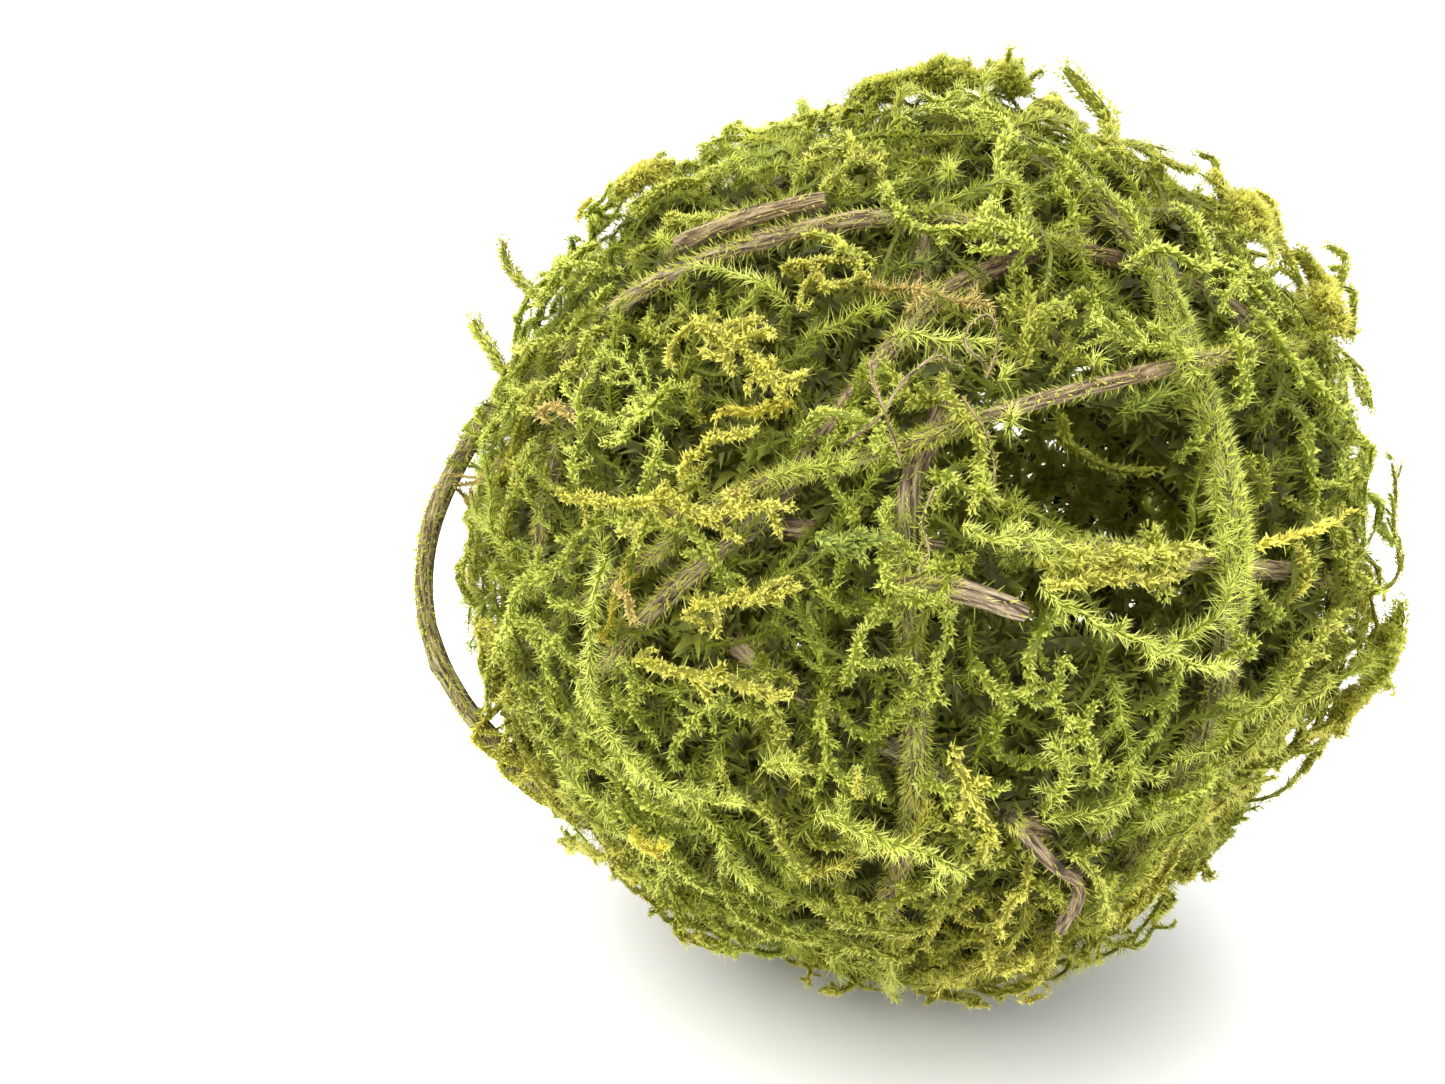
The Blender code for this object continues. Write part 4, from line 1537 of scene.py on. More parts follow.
    def choose(self, layer: Layer, out: np.ndarray) -> Frond:
        """Chooses what grows at a place of a layer.

        Args:
            layer: The layer.
            out: The unit direction of the place.

        Returns:
            The frond.
        """
        rng = self.rng
        softness = float(self.patch(out, Patch.SOFTNESS))
        habits, weights = zip(*layer.habits)
        soft = {Habit.BRISTLE: 1 + 1.2 * softness, Habit.FLUFFY: 1 + 0.9 * softness}
        weights = np.maximum(np.array(weights) * [soft.get(habit, 1.0) for habit in habits], 0.02)
        habit = habits[rng.choice(len(habits), p=weights / weights.sum())]
        # The hue decides among the common tints, and the draw picks the few shoots of a rare one
        draw, hue = rng.uniform(), float(self.patch(out, Patch.HUE)) + rng.normal(0, 0.45)
        far_lining = layer is LINING and out[1] > 0
        # Buried layers take painted shade in the dark deep tint, apart from the far wall's lining, which
        # takes painted light in the pale inside tint
        if layer.buried:
            tint = MossTint.INSIDE if far_lining else MossTint.DEEP_SHADE
        elif habit is Habit.BRISTLE:
            tint = MossTint.BRIGHT if draw < 0.94 else MossTint.BLUISH
        elif draw < 0.003:
            tint = MossTint.DRY
        elif draw < 0.013:
            tint = MossTint.GOLDEN
        else:
            hue += -0.5 if habit is Habit.FLUFFY else 0.0
            tint = MossTint.YELLOWISH if hue > 0.3 else (MossTint.BRIGHT if hue < -0.6 else MossTint.OLIVE)
        frond = Frond.of(habit, tint, rng)
        frond.density = layer.density * (self.far_density if far_lining else 1.0)
        return frond

    def uncovered(self, targets: np.ndarray, points: np.ndarray) -> np.ndarray:
        """How far each target lies from the leaves of shoots that run through the points."""
        apart = np.sqrt(np.maximum(2 - 2 * targets @ points.T, 0)).min(1) * self.ball.radius
        return apart - self.cover

    def fill(self, layer: Layer) -> None:
        """Lays fronds across the emptiest place in turn, until every place is close enough to one.

        Args:
            layer: The layer that they belong to.
        """
        k = np.arange(layer.targets)
        height, turn = 1 - (2 * k + 1) / layer.targets, k * GOLDEN_TURN
        level = np.sqrt(1 - height**2)
        even = np.stack([level * np.cos(turn), level * np.sin(turn), height], 1)
        targets = unit(even + self.rng.normal(0, 0.006, even.shape))
        rim = layer.setback + self.margin
        targets = targets[self.ball.outside_hollows(targets, layer.buried) > rim]
        if not layer.buried:
            beside = self.clear_reach + self.margin
            targets = targets[self.wood.clear_by(targets, self.ball.radius) > beside]
        slack = layer.need + layer.open_need * self.openness(targets)
        gaps = np.full(len(targets), self.ball.radius)
        for path in [] if layer.buried else self.planted:
            gaps = np.minimum(gaps, self.uncovered(targets, path))
        laid = 0
        while (gaps - slack).max() > 0:
            emptiest = int(np.argmax(gaps - slack))
            target = targets[emptiest]
            points = self.grow(target, self.choose(layer, target), layer)
            if not len(points):
                gaps[emptiest] = 0
                continue
            near = np.flatnonzero(targets @ target > math.cos(FROND_REACH))
            gaps[near] = np.minimum(gaps[near], self.uncovered(targets[near], points))
            gaps[emptiest] = min(gaps[emptiest], 0.0)
            laid += 1
        total = sum(along_line(cord.places)[-1] for cord in self.cords)
        LOG.info("%s layer: %d fronds, %d cords so far, %.1f m", layer.name, laid, len(self.cords), total)


@dataclass
class LeafPlaces:
    """Where the leaves of some cords stand: each one's place, the cord's way there and the share along it.

    half is the cord's half width, glow how light it is, and scale the size of its leaves.
    """

    places: np.ndarray
    ways: np.ndarray
    share: np.ndarray
    half: np.ndarray
    glow: np.ndarray
    scale: np.ndarray

    @staticmethod
    def along(cords: list[Cord], each: float) -> "LeafPlaces":
        """Spaces leaves evenly along cords.

        Args:
            cords: The cords.
            each: Leaves for each metre of a cord of full density and detail.

        Returns:
            Where they stand. A cord of less detail has fewer and larger ones.
        """
        rows = [cord.sampled(1 / (each * cord.density * cord.detail)) for cord in cords]
        counts = [len(row[0]) for row in rows]
        return LeafPlaces(
            *(np.concatenate(column) for column in zip(*rows)),
            np.repeat([cord.half_width for cord in cords], counts),
            np.repeat([cord.glow for cord in cords], counts),
            np.repeat([cord.detail**-0.5 for cord in cords], counts),
        )


@dataclass
class LeafMaker:
    """Turns cords into leaves, needles and cores."""

    centre: np.ndarray
    rng: np.random.Generator
    skew: ClassVar[np.ndarray] = 0.15 * np.array([0.31, 0.22, 0.93])

    def frames(self, places: np.ndarray, ways: np.ndarray) -> tuple[np.ndarray, np.ndarray]:
        """Finds which way is out and which is sideways along a cord.

        Args:
            places: Rows of places from the ball's centre.
            ways: The cord's direction at each.

        Returns:
            For each place, the direction out of the ball square to the cord, and the one to its side.
        """
        outs = unit(places) + self.skew
        outs = unit(outs - np.sum(outs * ways, 1, keepdims=True) * ways)
        return outs, np.cross(ways, outs)

    def tones(self, tint: MossTint, glow: np.ndarray, share: np.ndarray) -> np.ndarray:
        """Mixes leaf colours: painted shade at the base, painted light towards the tip and where glow is
        higher.

        Args:
            tint: The kind of colour.
            glow: How light each leaf is from 0 to 1.
            share: The share of the way from its base to its tip.

        Returns:
            Rows of linear colours.
        """
        rows = tint.value.rows()
        last = len(rows) - 1
        level = np.clip(last * (0.18 + 0.48 * glow + 0.42 * share * (0.45 + 0.55 * glow)), 0, last)
        return np.stack([np.interp(level, np.arange(len(rows)), column) for column in rows.T], 1)

    def blades(
        self, cords: list[Cord], habit: Habit, tint: MossTint, parts: MeshParts, hairs: bool, share_lit: float
    ) -> None:
        """Adds the leaves or the hairs of all cords of one habit and tint, each one pointed blade.

        Args:
            cords: The cords.
            habit: Their habit.
            tint: Their colours.
            parts: What the blades are added to.
            hairs: Whether these are the thin hairs and not the leaves.
            share_lit: How far up its colours a blade starts at its base.
        """
        leafing, rng = habit.value, self.rng
        each = leafing.hairs if hairs else leafing.leaves
        if not each:
            return
        spots = LeafPlaces.along(cords, each)
        number = len(spots.places)
        outs, sides = self.frames(spots.places, spots.ways)
        turn = np.arange(number) * GOLDEN_TURN + rng.normal(0, 0.4, number)
        turn = leafing.round * (np.mod(turn, FULL_TURN) - math.pi)
        radial = np.cos(turn)[:, None] * outs + np.sin(turn)[:, None] * sides
        leans = rng.uniform(*(leafing.hair_lean if hairs else leafing.lean), number)
        lean = np.radians(leans * np.interp(spots.share, *LEAN_PROFILE))
        girth = np.clip(spots.half / (1.2 * MM), 0.62, 1.15)
        taper = np.interp(spots.share, *LEAF_PROFILE) * girth * spots.scale
        length = rng.uniform(*(leafing.hair_length if hairs else leafing.length), number) * taper
        along = np.cos(lean)[:, None] * spots.ways + np.sin(lean)[:, None] * radial
        along = unit(along + rng.normal(0, leafing.stray, (number, 3)))
        breadth = leafing.hair_breadth * spots.scale if hairs else leafing.breadth * taper
        across = self.across(along, radial, outs, leafing.flat)
        across = across * (0.5 * breadth * rng.uniform(0.75, 1.2, number))[:, None]
        base = spots.places + radial * (spots.half * leafing.root)[:, None] + self.centre
        droop = radial * (0.18 * length * rng.uniform(-0.5, 1, number))[:, None]
        tip = base + along * length[:, None] - droop
        corners = np.stack([base - across, base + across, tip], 1)
        faces = 3 * np.arange(number)[:, None] + np.arange(3)
        # Painted light and shade: glow carries the painted shade of the shoot's depth, and blades on the
        # cord's outer side are lighter than those on its inner side
        lit = np.clip(spots.glow + rng.normal(0, 0.15, number) + 0.16 * np.cos(turn), 0, 1.2)
        tones = np.stack([self.tones(tint, lit, np.full(number, s)) for s in (share_lit, share_lit, 1.0)], 1)
        parts.add(corners.reshape(-1, 3), faces, tones.reshape(-1, 3))

    def across(self, along: np.ndarray, radial: np.ndarray, outs: np.ndarray, flat: float) -> np.ndarray:
        """Rolls each blade at random, and then turns its broad side to face out of the ball.

        Args:
            along: Each blade's direction.
            radial: The direction from the cord's middle to its base.
            outs: The direction out of the ball there.
            flat: How far it turns, from 0 to 1.

        Returns:
            The direction across each blade.
        """
        across = unit(np.cross(along, radial))
        roll = self.rng.normal(0, 0.7, len(along))[:, None]
        across = np.cos(roll) * across + np.sin(roll) * np.cross(across, along)
        facing = unit(np.cross(along, outs))
        side = np.sign(np.sum(across * facing, 1))[:, None]
        return unit(across + flat / (1 - flat) * side * facing)

    def leaves_and_hairs(self, cords: list[Cord], habit: Habit, tint: MossTint, parts: MeshParts) -> None:
        """Adds the leaves of all cords of one habit and tint, and the hairs among them."""
        self.blades(cords, habit, tint, parts, hairs=False, share_lit=0.0)
        self.blades(cords, habit, tint, parts, hairs=True, share_lit=0.3)

    def core(self, cord: Cord, parts: MeshParts) -> None:
        """Adds the stem inside a cord, as a three-sided rod that thins to its tip.

        Args:
            cord: The cord.
            parts: What the rod is added to.
        """
        step = 6.0 if cord.habit in UNSEEN_HABITS else 3.6 / cord.detail
        places, ways, share = cord.sampled(step * MM)
        radius = cord.half_width * cord.habit.value.core * np.interp(share, *CORE_PROFILE)
        # Painted shade: the stem takes the dark base end of its tint, as it lies under the leaves
        tones = self.tones(cord.tint, np.full(len(places), 0.1 + 0.3 * cord.glow), np.zeros(len(places)))
        sides = 3
        vertices = tube_vertices(places + self.centre, ways, radius[:, None].repeat(sides, 1))
        parts.add(vertices, tube_faces(len(places), sides), tones.repeat(sides, 0))


def tube_vertices(line: np.ndarray, ways: np.ndarray, radius: np.ndarray) -> np.ndarray:
    """Places the vertices of a tube round a line.

    Args:
        line: Rows of world places along its middle.
        ways: The line's direction at each.
        radius: A row for each place, with the radius at each side of the tube.

    Returns:
        Rows of vertices, ring by ring.
    """
    turn = np.arange(radius.shape[1]) * FULL_TURN / radius.shape[1]
    across = unit(np.cross(ways, np.array([0.37, -0.21, 0.9])))
    other = np.cross(ways, across)
    spokes = np.cos(turn)[None, :, None] * across[:, None] + np.sin(turn)[None, :, None] * other[:, None]
    return (line[:, None] + spokes * radius[..., None]).reshape(-1, 3)


def tube_faces(count: int, sides: int) -> np.ndarray:
    """Numbers the vertices of a closed tube's triangles.

    Args:
        count: How many rings of vertices it has.
        sides: How many vertices each ring has.

    Returns:
        Rows of three: two for each side between two rings, ring by ring, then both caps.
    """
    k = np.arange(sides)
    onward = (k + 1) % sides
    quads = np.stack([k, onward, onward + sides, k + sides], 1)[None]
    quads = quads + sides * np.arange(count - 1)[:, None, None]
    walls = quads.reshape(-1, 4)[:, QUAD_TO_TRIANGLES].reshape(-1, 3)
    fan = np.stack([np.zeros(sides - 2, int), np.arange(1, sides - 1), np.arange(2, sides)], 1)
    return np.concatenate([walls, fan[:, ::-1], fan + sides * (count - 1)])


@dataclass(frozen=True)
class Stretch:
    """A stretch of a vine between two places of the ball, and the fuzz of moss on it.

    start and end are longitude and latitude. density is a share of full fuzz. The net keeps off a clear
    stretch and grows over any other. reach is how far the vine may lie from the straight line between its
    ends, as a share of the ball's radius.
    """

    node: str
    start: tuple[float, float]
    end: tuple[float, float]
    density: float
    tint: MossTint
    clear: bool = True
    reach: float = 0.14

    def holds(self, outs: np.ndarray) -> np.ndarray:
        """Finds which places lie along the stretch.

        Args:
            outs: Rows of unit directions from the ball's centre.

        Returns:
            Whether each does.
        """
        first, last = direction(*self.start), direction(*self.end)
        share = (outs - first) @ (last - first) / ((last - first) @ (last - first))
        apart = np.linalg.norm(outs - first - share[:, None] * (last - first), axis=1)
        return (share > 0) & (share < 1) & (apart < self.reach)


# What the bark's colour is multiplied by where it is weathered grey, brown, and green with algae
BARK_TONES = ((1.02, 1.02, 1.0), (0.86, 0.72, 0.58), (0.62, 0.74, 0.34))
# The share of its solid's width that is bark where the solid stands for bark and fuzz together
BARE_SHARE = {"vine_sprung_loop": 0.84, "vine_brow": 0.76, "vine_window_head": 0.78, "twig_over_brow": 0.86}
STRETCHES = (
    Stretch("vine_brow", start=(-38, 33), end=(-3, 43), density=0.8, tint=MossTint.OLIVE),
    Stretch("twig_over_brow", start=(-33, 40), end=(-9, 49), density=0.25, tint=MossTint.OLIVE),
    Stretch("vine_window_head", start=(9.5, 23.5), end=(27.5, 28.5), density=0.5, tint=MossTint.BRIGHT),
    Stretch("vine_window_side", start=(27, 40), end=(33, 3), density=4.0, tint=MossTint.BRIGHT),
    Stretch(
        "vine_window_sill",
        start=(7, 13.5),
        end=(31, 10),
        density=2.0,
        tint=MossTint.BRIGHT,
        clear=False,
    ),
    Stretch("vine_front_upright", start=(2.8, 21.5), end=(2.8, 16.0), density=0.6, tint=MossTint.BRIGHT),
    Stretch("twig_stub_front", start=(5.5, 9.2), end=(13, 6.4), density=0.12, tint=MossTint.OLIVE),
    Stretch("twig_hook_low", start=(13.5, -14), end=(23.5, -34), density=0.12, tint=MossTint.OLIVE),
    Stretch(
        "vine_sprung_loop",
        start=(-88, 60),
        end=(-88, -60),
        density=1.0,
        tint=MossTint.OLIVE,
        clear=False,
        reach=1.2,
    ),
)


@dataclass
class Vine:
    """One vine or twig: its centre line and radius come from its CAD node, and it gets ridges and knots.

    step is the distance between the rings of its bark, and knot_every the one between its knots. green is how
    much algae it carries. Off the stretches, its fuzz goes from low_density where it lies deep in the net to
    high_density where it comes up.
    """

    node: str
    line: np.ndarray
    radius: float
    rng: np.random.Generator
    sides: int = 8
    step: float = 2.6 * MM
    knot_every: float = 0.042
    green: float = 0.25
    low_density: float = 0.25
    high_density: float = 1.3
    same_place: ClassVar[float] = 0.01 * MM
    longest_ring_edge: ClassVar[float] = 5.2 * MM
    cut_end: ClassVar[float] = 0.82

    @staticmethod
    def of(node: str, shape: bpy.types.Object, rng: np.random.Generator) -> "Vine":
        """Reads a vine's centre line back from the rings of its CAD tube.

        The bark fills the whole tube, apart from a vine in BARE_SHARE, whose tube holds its fuzz as well.

        Args:
            node: The node's name.
            shape: Its CAD object.
            rng: Where its knots are drawn from.

        Returns:
            The vine.
        """
        world = np.array([shape.matrix_world @ vertex.co for vertex in shape.data.vertices])
        rounded = np.round(world / Vine.same_place).astype(int)
        _, first, same = np.unique(rounded, axis=0, return_index=True, return_inverse=True)
        places, same = world[first], same.ravel()
        edges = {tuple(sorted((same[a], same[b]))) for a, b in (edge.vertices for edge in shape.data.edges)}
        edges = np.array([edge for edge in sorted(edges) if edge[0] != edge[1]])
        long = np.linalg.norm(places[edges[:, 0]] - places[edges[:, 1]], axis=1) > Vine.longest_ring_edge
        ring = Vine.rings(len(places), edges[~long])
        names = np.unique(ring)
        middles = np.array([places[ring == name].mean(0) for name in names])
        number = np.searchsorted(names, ring)
        order = Vine.in_line(len(names), [(number[a], number[b]) for a, b in edges[long]])
        widest = max(np.linalg.norm(places[ring == names[k]] - middles[k], axis=1).mean() for k in order)
        return Vine(node, middles[order], float(widest) * BARE_SHARE.get(node, 1.0), rng)

    @staticmethod
    def rings(count: int, edges: np.ndarray) -> np.ndarray:
        """Finds the vertices that hang together.

        Args:
            count: How many vertices there are.
            edges: Rows of two vertices that belong to one ring.

        Returns:
            For each vertex, the lowest number in its ring.
        """
        ring = np.arange(count)
        changed = True
        while changed:
            low = np.minimum(ring[edges[:, 0]], ring[edges[:, 1]])
            before = ring.copy()
            np.minimum.at(ring, edges[:, 0], low)
            np.minimum.at(ring, edges[:, 1], low)
            changed = bool((ring != before).any())
        return ring

    @staticmethod
    def in_line(count: int, joined: list[tuple[int, int]]) -> list[int]:
        """Puts the rings of a tube in order from one end to the other.

        Args:
            count: How many rings there are.
            joined: Pairs of rings that an edge joins.

        Returns:
            The rings' numbers in order.
        """
        beside = [set() for _ in range(count)]
        for a, b in joined:
            if a != b:
                beside[a].add(b)
                beside[b].add(a)
        order = [next(k for k in range(count) if len(beside[k]) == 1)]
        while len(order) < count:
            order.append(next(k for k in sorted(beside[order[-1]]) if k not in order))
        return order

    def reach_of(self, ball: Ball) -> tuple[np.ndarray, np.ndarray]:
        """Finds where the vine runs over the ball.

        Args:
            ball: The ball.

        Returns:
            Its directions from the ball's centre, and how high its outer side stands over the ball.
        """
        line = self.fine_line()[0] - np.array(ball.centre)
        outs = unit(line)
        surface = np.linalg.norm(ball.shaped(outs * ball.radius), axis=1)
        return outs, np.linalg.norm(line, axis=1) - surface + self.radius

    def growth(self, ball: Ball) -> tuple[np.ndarray, np.ndarray, np.ndarray]:
        """Finds what grows along the vine.

        Args:
            ball: The ball that it is wound on.

        Returns:
            The fuzz's density, whether the moss keeps clear, and the number of the stretch or -1.
        """
        outs, tops = self.reach_of(ball)
        number = np.full(len(outs), -1)
        for index, stretch in enumerate(STRETCHES):
            if stretch.node == self.node:
                number[stretch.holds(outs)] = index
        risen = smooth_step(tops, -9 * MM, -6.5 * MM)
        hidden = self.low_density + (self.high_density - self.low_density) * risen
        density = np.array([STRETCHES[k].density if k >= 0 else rest for k, rest in zip(number, hidden)])
        return density, np.array([k >= 0 and STRETCHES[k].clear for k in number]), number

    def fine_line(self) -> tuple[np.ndarray, np.ndarray]:
        """The smoothed centre line and its directions."""
        line = smoothed_line(self.line, self.step)
        return line, unit(np.gradient(line, axis=0))

    def uneven(self, reach: np.ndarray) -> np.ndarray:
        """Draws how uneven the bark is: it swells, three ridges wind round it, and it has knots.

        Args:
            reach: How far each ring lies along the vine.

        Returns:
            A row for each ring, with the share of the radius at each side.
        """
        count, sides, rng = len(reach), self.sides, self.rng
        swell = 1 + 0.05 * np.sin(reach / 0.011 + rng.uniform(0, 6)) + 0.03 * np.sin(reach / 0.0047)
        swell[0], swell[-1] = self.cut_end, self.cut_end
        knots = np.arange(rng.uniform(0.3, 1) * self.knot_every, reach[-1], self.knot_every)
        turn = np.arange(sides) * FULL_TURN / sides
        ridges = 0.055 * np.sin(3 * turn[None] + reach[:, None] / 0.02)
        ring = np.ones((count, sides)) * swell[:, None] + ridges + rng.normal(0, 0.022, (count, sides))
        for knot in knots + rng.normal(0, 0.008, len(knots)):
            facing = rng.uniform(0, FULL_TURN)
            one_side = 0.6 + 0.4 * np.cos(turn - facing)
            bump = np.exp(-(((reach - knot) / 0.0024) ** 2))[:, None] * one_side[None]
            ring = ring + rng.uniform(0.12, 0.34) * bump
        return ring

    def grain(self, reach: np.ndarray) -> np.ndarray:
        """Lays the bark's UV map, which gives millimetres round the vine and along it.

        Args:
            reach: How far each ring lies along the vine.

        Returns:
            The UV place of each corner of each face, in the order of tube_faces.
        """
        sides = self.sides
        around = np.arange(sides) * FULL_TURN * self.radius / sides / MM
        width = FULL_TURN * self.radius / sides / MM
        low, high = reach[:-1] / MM, reach[1:] / MM
        corner_u = np.stack([around, around + width, around + width, around], 1)[None].repeat(len(low), 0)
        corner_v = np.stack([low, low, high, high], 1)[:, None].repeat(sides, 1)
        walls = np.stack([corner_u, corner_v], -1).reshape(-1, 4, 2)[:, QUAD_TO_TRIANGLES].reshape(-1, 2)
        caps = np.tile([(0.0, 0.0), (0.4, 0.5), (0.8, 0.0)], (2 * (sides - 2), 1))
        return np.concatenate([walls, caps])

    def bark(self, material: bpy.types.Material, ball: Ball) -> bpy.types.Object:
        """Builds the vine's fine bark tube, with ridges along it, knots, and a slightly uneven run.

        Args:
            material: The bark.
            ball: The ball that the vine is wound on.

        Returns:
            The piece.
        """
        line, ways = self.fine_line()
        reach = along_line(line)
        vertices = tube_vertices(line, ways, self.uneven(reach) * self.radius)
        tones = self.tones(reach, self.growth(ball)[0]).repeat(self.sides, 0)
        parts = MeshParts()
        parts.add(vertices, tube_faces(len(line), self.sides), tones, self.grain(reach))
        piece = parts.to_object(f"bark_{self.node}", material, smooth=True)
        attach(piece, "root")
        return piece

    def fuzz(self, material: bpy.types.Material, ball: Ball, maker: "LeafMaker") -> None:
        """Grows the fuzz of moss on the vine, stretch by stretch.

        Args:
            material: The moss.
            ball: The ball that the vine is wound on.
            maker: What makes the leaves.
        """
        line = self.fine_line()[0] - maker.centre
        density, _, number = self.growth(ball)
        level = np.round(density, 1) + number
        parts = MeshParts()
        for run in np.split(np.arange(len(line)), np.flatnonzero(np.diff(level)) + 1):
            run = np.append(run, min(run[-1] + 1, len(line) - 1))
            if run[0] == run[-1]:
                continue
            tint = STRETCHES[number[run[0]]].tint if number[run[0]] >= 0 else MossTint.OLIVE
            cords = [Cord(line[run], self.radius, Habit.FUZZ, tint, 0.72, density[run[0]])]
            maker.leaves_and_hairs(cords, Habit.FUZZ, tint, parts)
        piece = parts.to_object(f"fuzz_{self.node}", material)
        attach(piece, "root")

    def tones(self, reach: np.ndarray, density: np.ndarray) -> np.ndarray:
        """Draws the bark's tint along the vine: weathered grey, brown, or green with algae.

        Args:
            reach: How far each ring lies along the vine.
            density: The density of the fuzz there.

        Returns:
            What each ring's colour is multiplied by.
        """
        grey, brown, green = (np.array(tone) for tone in BARK_TONES)
        wave = 0.5 + 0.5 * np.sin(reach / 0.031 + self.rng.uniform(0, 6)) * np.sin(reach / 0.013)
        tones = grey + (brown - grey) * wave[:, None]
        algae = self.green * smooth_step(np.sin(reach / 0.045 + self.rng.uniform(0, 6)), -0.4, 0.8)
        algae = np.maximum(algae, smooth_step(density, 0.5, 1.5))
        return tones + (green - tones) * algae[:, None]


@dataclass
class Studio:
    """A plain pale floor that curves up behind, soft light, and the camera at the photo's viewing angle.

    The camera looks so many degrees down and to the left. Its focal length is 1065 of the photo's 1445 pixels
    of width.
    """

    camera_place: tuple[float, float, float] = (0.0, -0.2500, 0.1520)
    camera_down: float = 12.25
    camera_left: float = 9.25
    focal_mm: float = 36 * 1065 / 1445
    sensor_mm: float = 36.0
    room_colour: str = "#fafbff"
    room_strength: float = 1.3
    aim: tuple[float, float, float] = (0.0, 0.0, 0.10)
    floor_half: float = 2.4
    wall_at: float = 1.1
    wall_height: float = 2.2
    curve_radius: float = 0.6

    def build(self) -> None:
        """Builds everything."""
        self.sweep()
        self.light()
        self.camera()

    def sweep(self) -> None:
        """Adds the floor and backdrop as one curved sheet."""
        turn = np.linspace(0, math.pi / 2, 17)
        bend_y = self.wall_at + self.curve_radius * np.sin(turn)
        bend_z = self.curve_radius * (1 - np.cos(turn))
        outline = [(-self.floor_half, 0.0), *zip(bend_y, bend_z), (bend_y[-1], self.wall_height)]
        vertices = [(x, y, z) for y, z in outline for x in (-self.floor_half, self.floor_half)]
        faces = [(2 * i, 2 * i + 1, 2 * i + 3, 2 * i + 2) for i in range(len(outline) - 1)]
        mesh = bpy.data.meshes.new("studio_sweep")
        mesh.from_pydata(vertices, [], faces)
        mesh.shade_smooth()
        mesh.materials.append(StudioPaper().material())
        sweep = bpy.data.objects.new("studio_sweep", mesh)
        bpy.context.scene.collection.objects.link(sweep)

    def lamp(
        self, name: str, place: tuple[float, float, float], size: float, watts: float, colour: str
    ) -> None:
        """Adds one soft square lamp that shines on the ball.

        Args:
            name: Its name.
            place: Where it hangs.
            size: The length of its side.
            watts: Its power.
            colour: Its colour as sRGB hex.
        """
        data = bpy.data.lights.new(name, "AREA")
        data.shape = "SQUARE"
        data.size = size
        data.energy = watts
        data.color = linear(colour)
        lamp = bpy.data.objects.new(name, data)
        lamp.location = place
        lamp.rotation_euler = (Vector(self.aim) - Vector(place)).to_track_quat("-Z", "Y").to_euler()
        bpy.context.scene.collection.objects.link(lamp)

    def light(self) -> None:
        """Adds a broad window light from above left, a weaker one from above, and a bright room."""
        world = bpy.data.worlds.new("bright_room")
        world.use_nodes = True
        background = world.node_tree.nodes["Background"]
        background.inputs["Color"].default_value = (*linear(self.room_colour), 1)
        background.inputs["Strength"].default_value = self.room_strength
        bpy.context.scene.world = world
        self.lamp("window_light", place=(-0.45, -0.55, 0.95), size=1.0, watts=15, colour="#fffdf6")
        self.lamp("top_light", place=(0.15, 0.1, 1.1), size=0.8, watts=9, colour="#ffffff")

    def camera(self) -> None:
        """Adds the camera, at the photo's viewing angle."""
        data = bpy.data.cameras.new("camera")
        data.sensor_width = self.sensor_mm
        data.lens = self.focal_mm
        data.clip_start = 0.005
        camera = bpy.data.objects.new("camera", data)
        camera.location = self.camera_place
        camera.rotation_euler = (math.radians(90 - self.camera_down), 0, math.radians(self.camera_left))
        bpy.context.scene.collection.objects.link(camera)
        bpy.context.scene.camera = camera
        bpy.context.scene.view_settings.view_transform = "Standard"


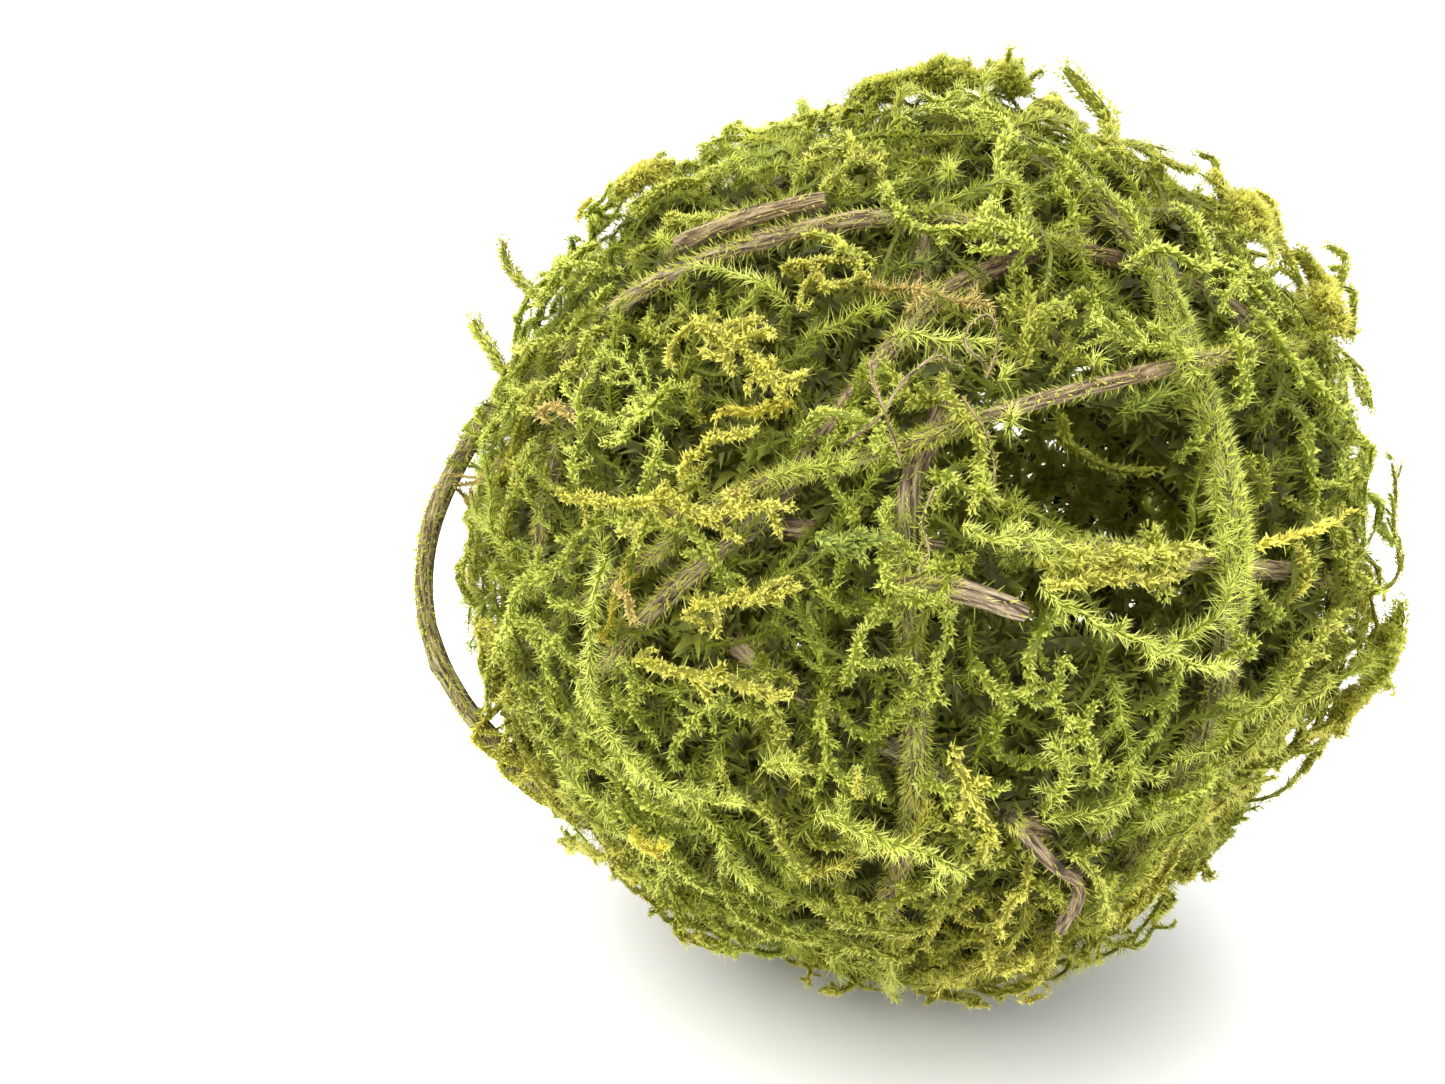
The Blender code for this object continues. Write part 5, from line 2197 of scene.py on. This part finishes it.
@dataclass
class MossOrb:
    """The whole orb: its vines and twigs, the fuzz on them, and its moss, spray by spray.

    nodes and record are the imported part's, as the frame gives them.
    """

    ball: Ball
    nodes: dict[str, bpy.types.Object]
    record: dict
    maker: LeafMaker

    def wood(self) -> list[Vine]:
        """Reads every vine and twig from the CAD."""
        names = sorted(name for name in self.nodes if name.startswith(("vine_", "twig_")))
        return [Vine.of(name, self.nodes[name], self.maker.rng) for name in names]

    def bark_and_fuzz(self, vines: list[Vine], bark: bpy.types.Material, moss: bpy.types.Material) -> None:
        """Builds every vine and twig in place of its node, and the rootlets, each with its fuzz.

        Args:
            vines: The vines and twigs.
            bark: What they are made of.
            moss: What their fuzz is made of.
        """
        for vine in vines:
            piece = vine.bark(bark, self.ball)
            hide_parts(vine.node)
            vine.fuzz(moss, self.ball, self.maker)
        for rootlet in ROOTLETS:
            thin = Vine(
                node=rootlet.name,
                line=self.ball.shaped(self.ball.line_through(rootlet.places, 3 * MM)) + self.maker.centre,
                radius=rootlet.radius,
                rng=self.maker.rng,
                sides=6,
                step=1.2 * MM,
                knot_every=0.013,
                green=0.1,
                low_density=0.25,
                high_density=0.25,
            )
            thin.bark(bark, self.ball)
            thin.fuzz(moss, self.ball, self.maker)

    def owners(self, cords: list[Cord]) -> list[str]:
        """Shares the cords out among the moss nodes.

        Args:
            cords: All cords of the net.

        Returns:
            The name of the moss node that lies nearest to the middle of each cord.
        """
        names, places = [], []
        for name in sorted(self.nodes):
            if name.startswith("moss_"):
                shape = self.nodes[name]
                world = [shape.matrix_world @ vertex.co for vertex in shape.data.vertices]
                world += [shape.matrix_world @ face.center for face in shape.data.polygons]
                names += [name] * len(world)
                places += world
        tree = KDTree(len(places))
        for index, place in enumerate(places):
            tree.insert(place, index)
        tree.balance()
        centre = np.array(self.ball.centre)
        return [names[tree.find(Vector(cord.places[len(cord.places) // 2] + centre))[1]] for cord in cords]

    def moss(self, cords: list[Cord], material: bpy.types.Material) -> None:
        """Makes one piece of moss for each moss node from the cords nearest to it.

        Args:
            cords: All cords of the net.
            material: What they are made of.
        """
        owners, maker = self.owners(cords), self.maker
        for name in sorted(set(owners)):
            parts = MeshParts()
            mine = [cord for cord, owner in zip(cords, owners) if owner == name]
            for habit in Habit:
                for tint in MossTint:
                    some = [cord for cord in mine if cord.habit is habit and cord.tint is tint]
                    if some:
                        maker.leaves_and_hairs(some, habit, tint, parts)
            for cord in mine:
                maker.core(cord, parts)
            piece = parts.to_object(f"fine_{name}", material)
            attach(piece, "root")
            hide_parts(name)


def main() -> None:
    """Builds the orb and the studio."""
    logging.basicConfig(level=logging.INFO, format="%(name)s: %(message)s")
    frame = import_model()
    rng = np.random.default_rng(SEED)
    ball = Ball()
    orb = MossOrb(ball, frame["nodes"], frame["record"], LeafMaker(np.array(ball.centre), rng))
    vines = orb.wood()
    moss = DriedMoss().material()
    orb.bark_and_fuzz(vines, VineBark().material(), moss)
    net = MossNet(ball, rng, WoodField.of(ball, vines))
    for layer in (LINING, INNER, MIDDLE):
        net.fill(layer)
    for shoot in SHOOTS:
        net.plant(shoot)
    for lump in LUMPS:
        net.heap(lump)
    net.fill(OUTER)
    orb.moss(net.cords, moss)
    Studio().build()


if __name__ == "__main__":
    main()
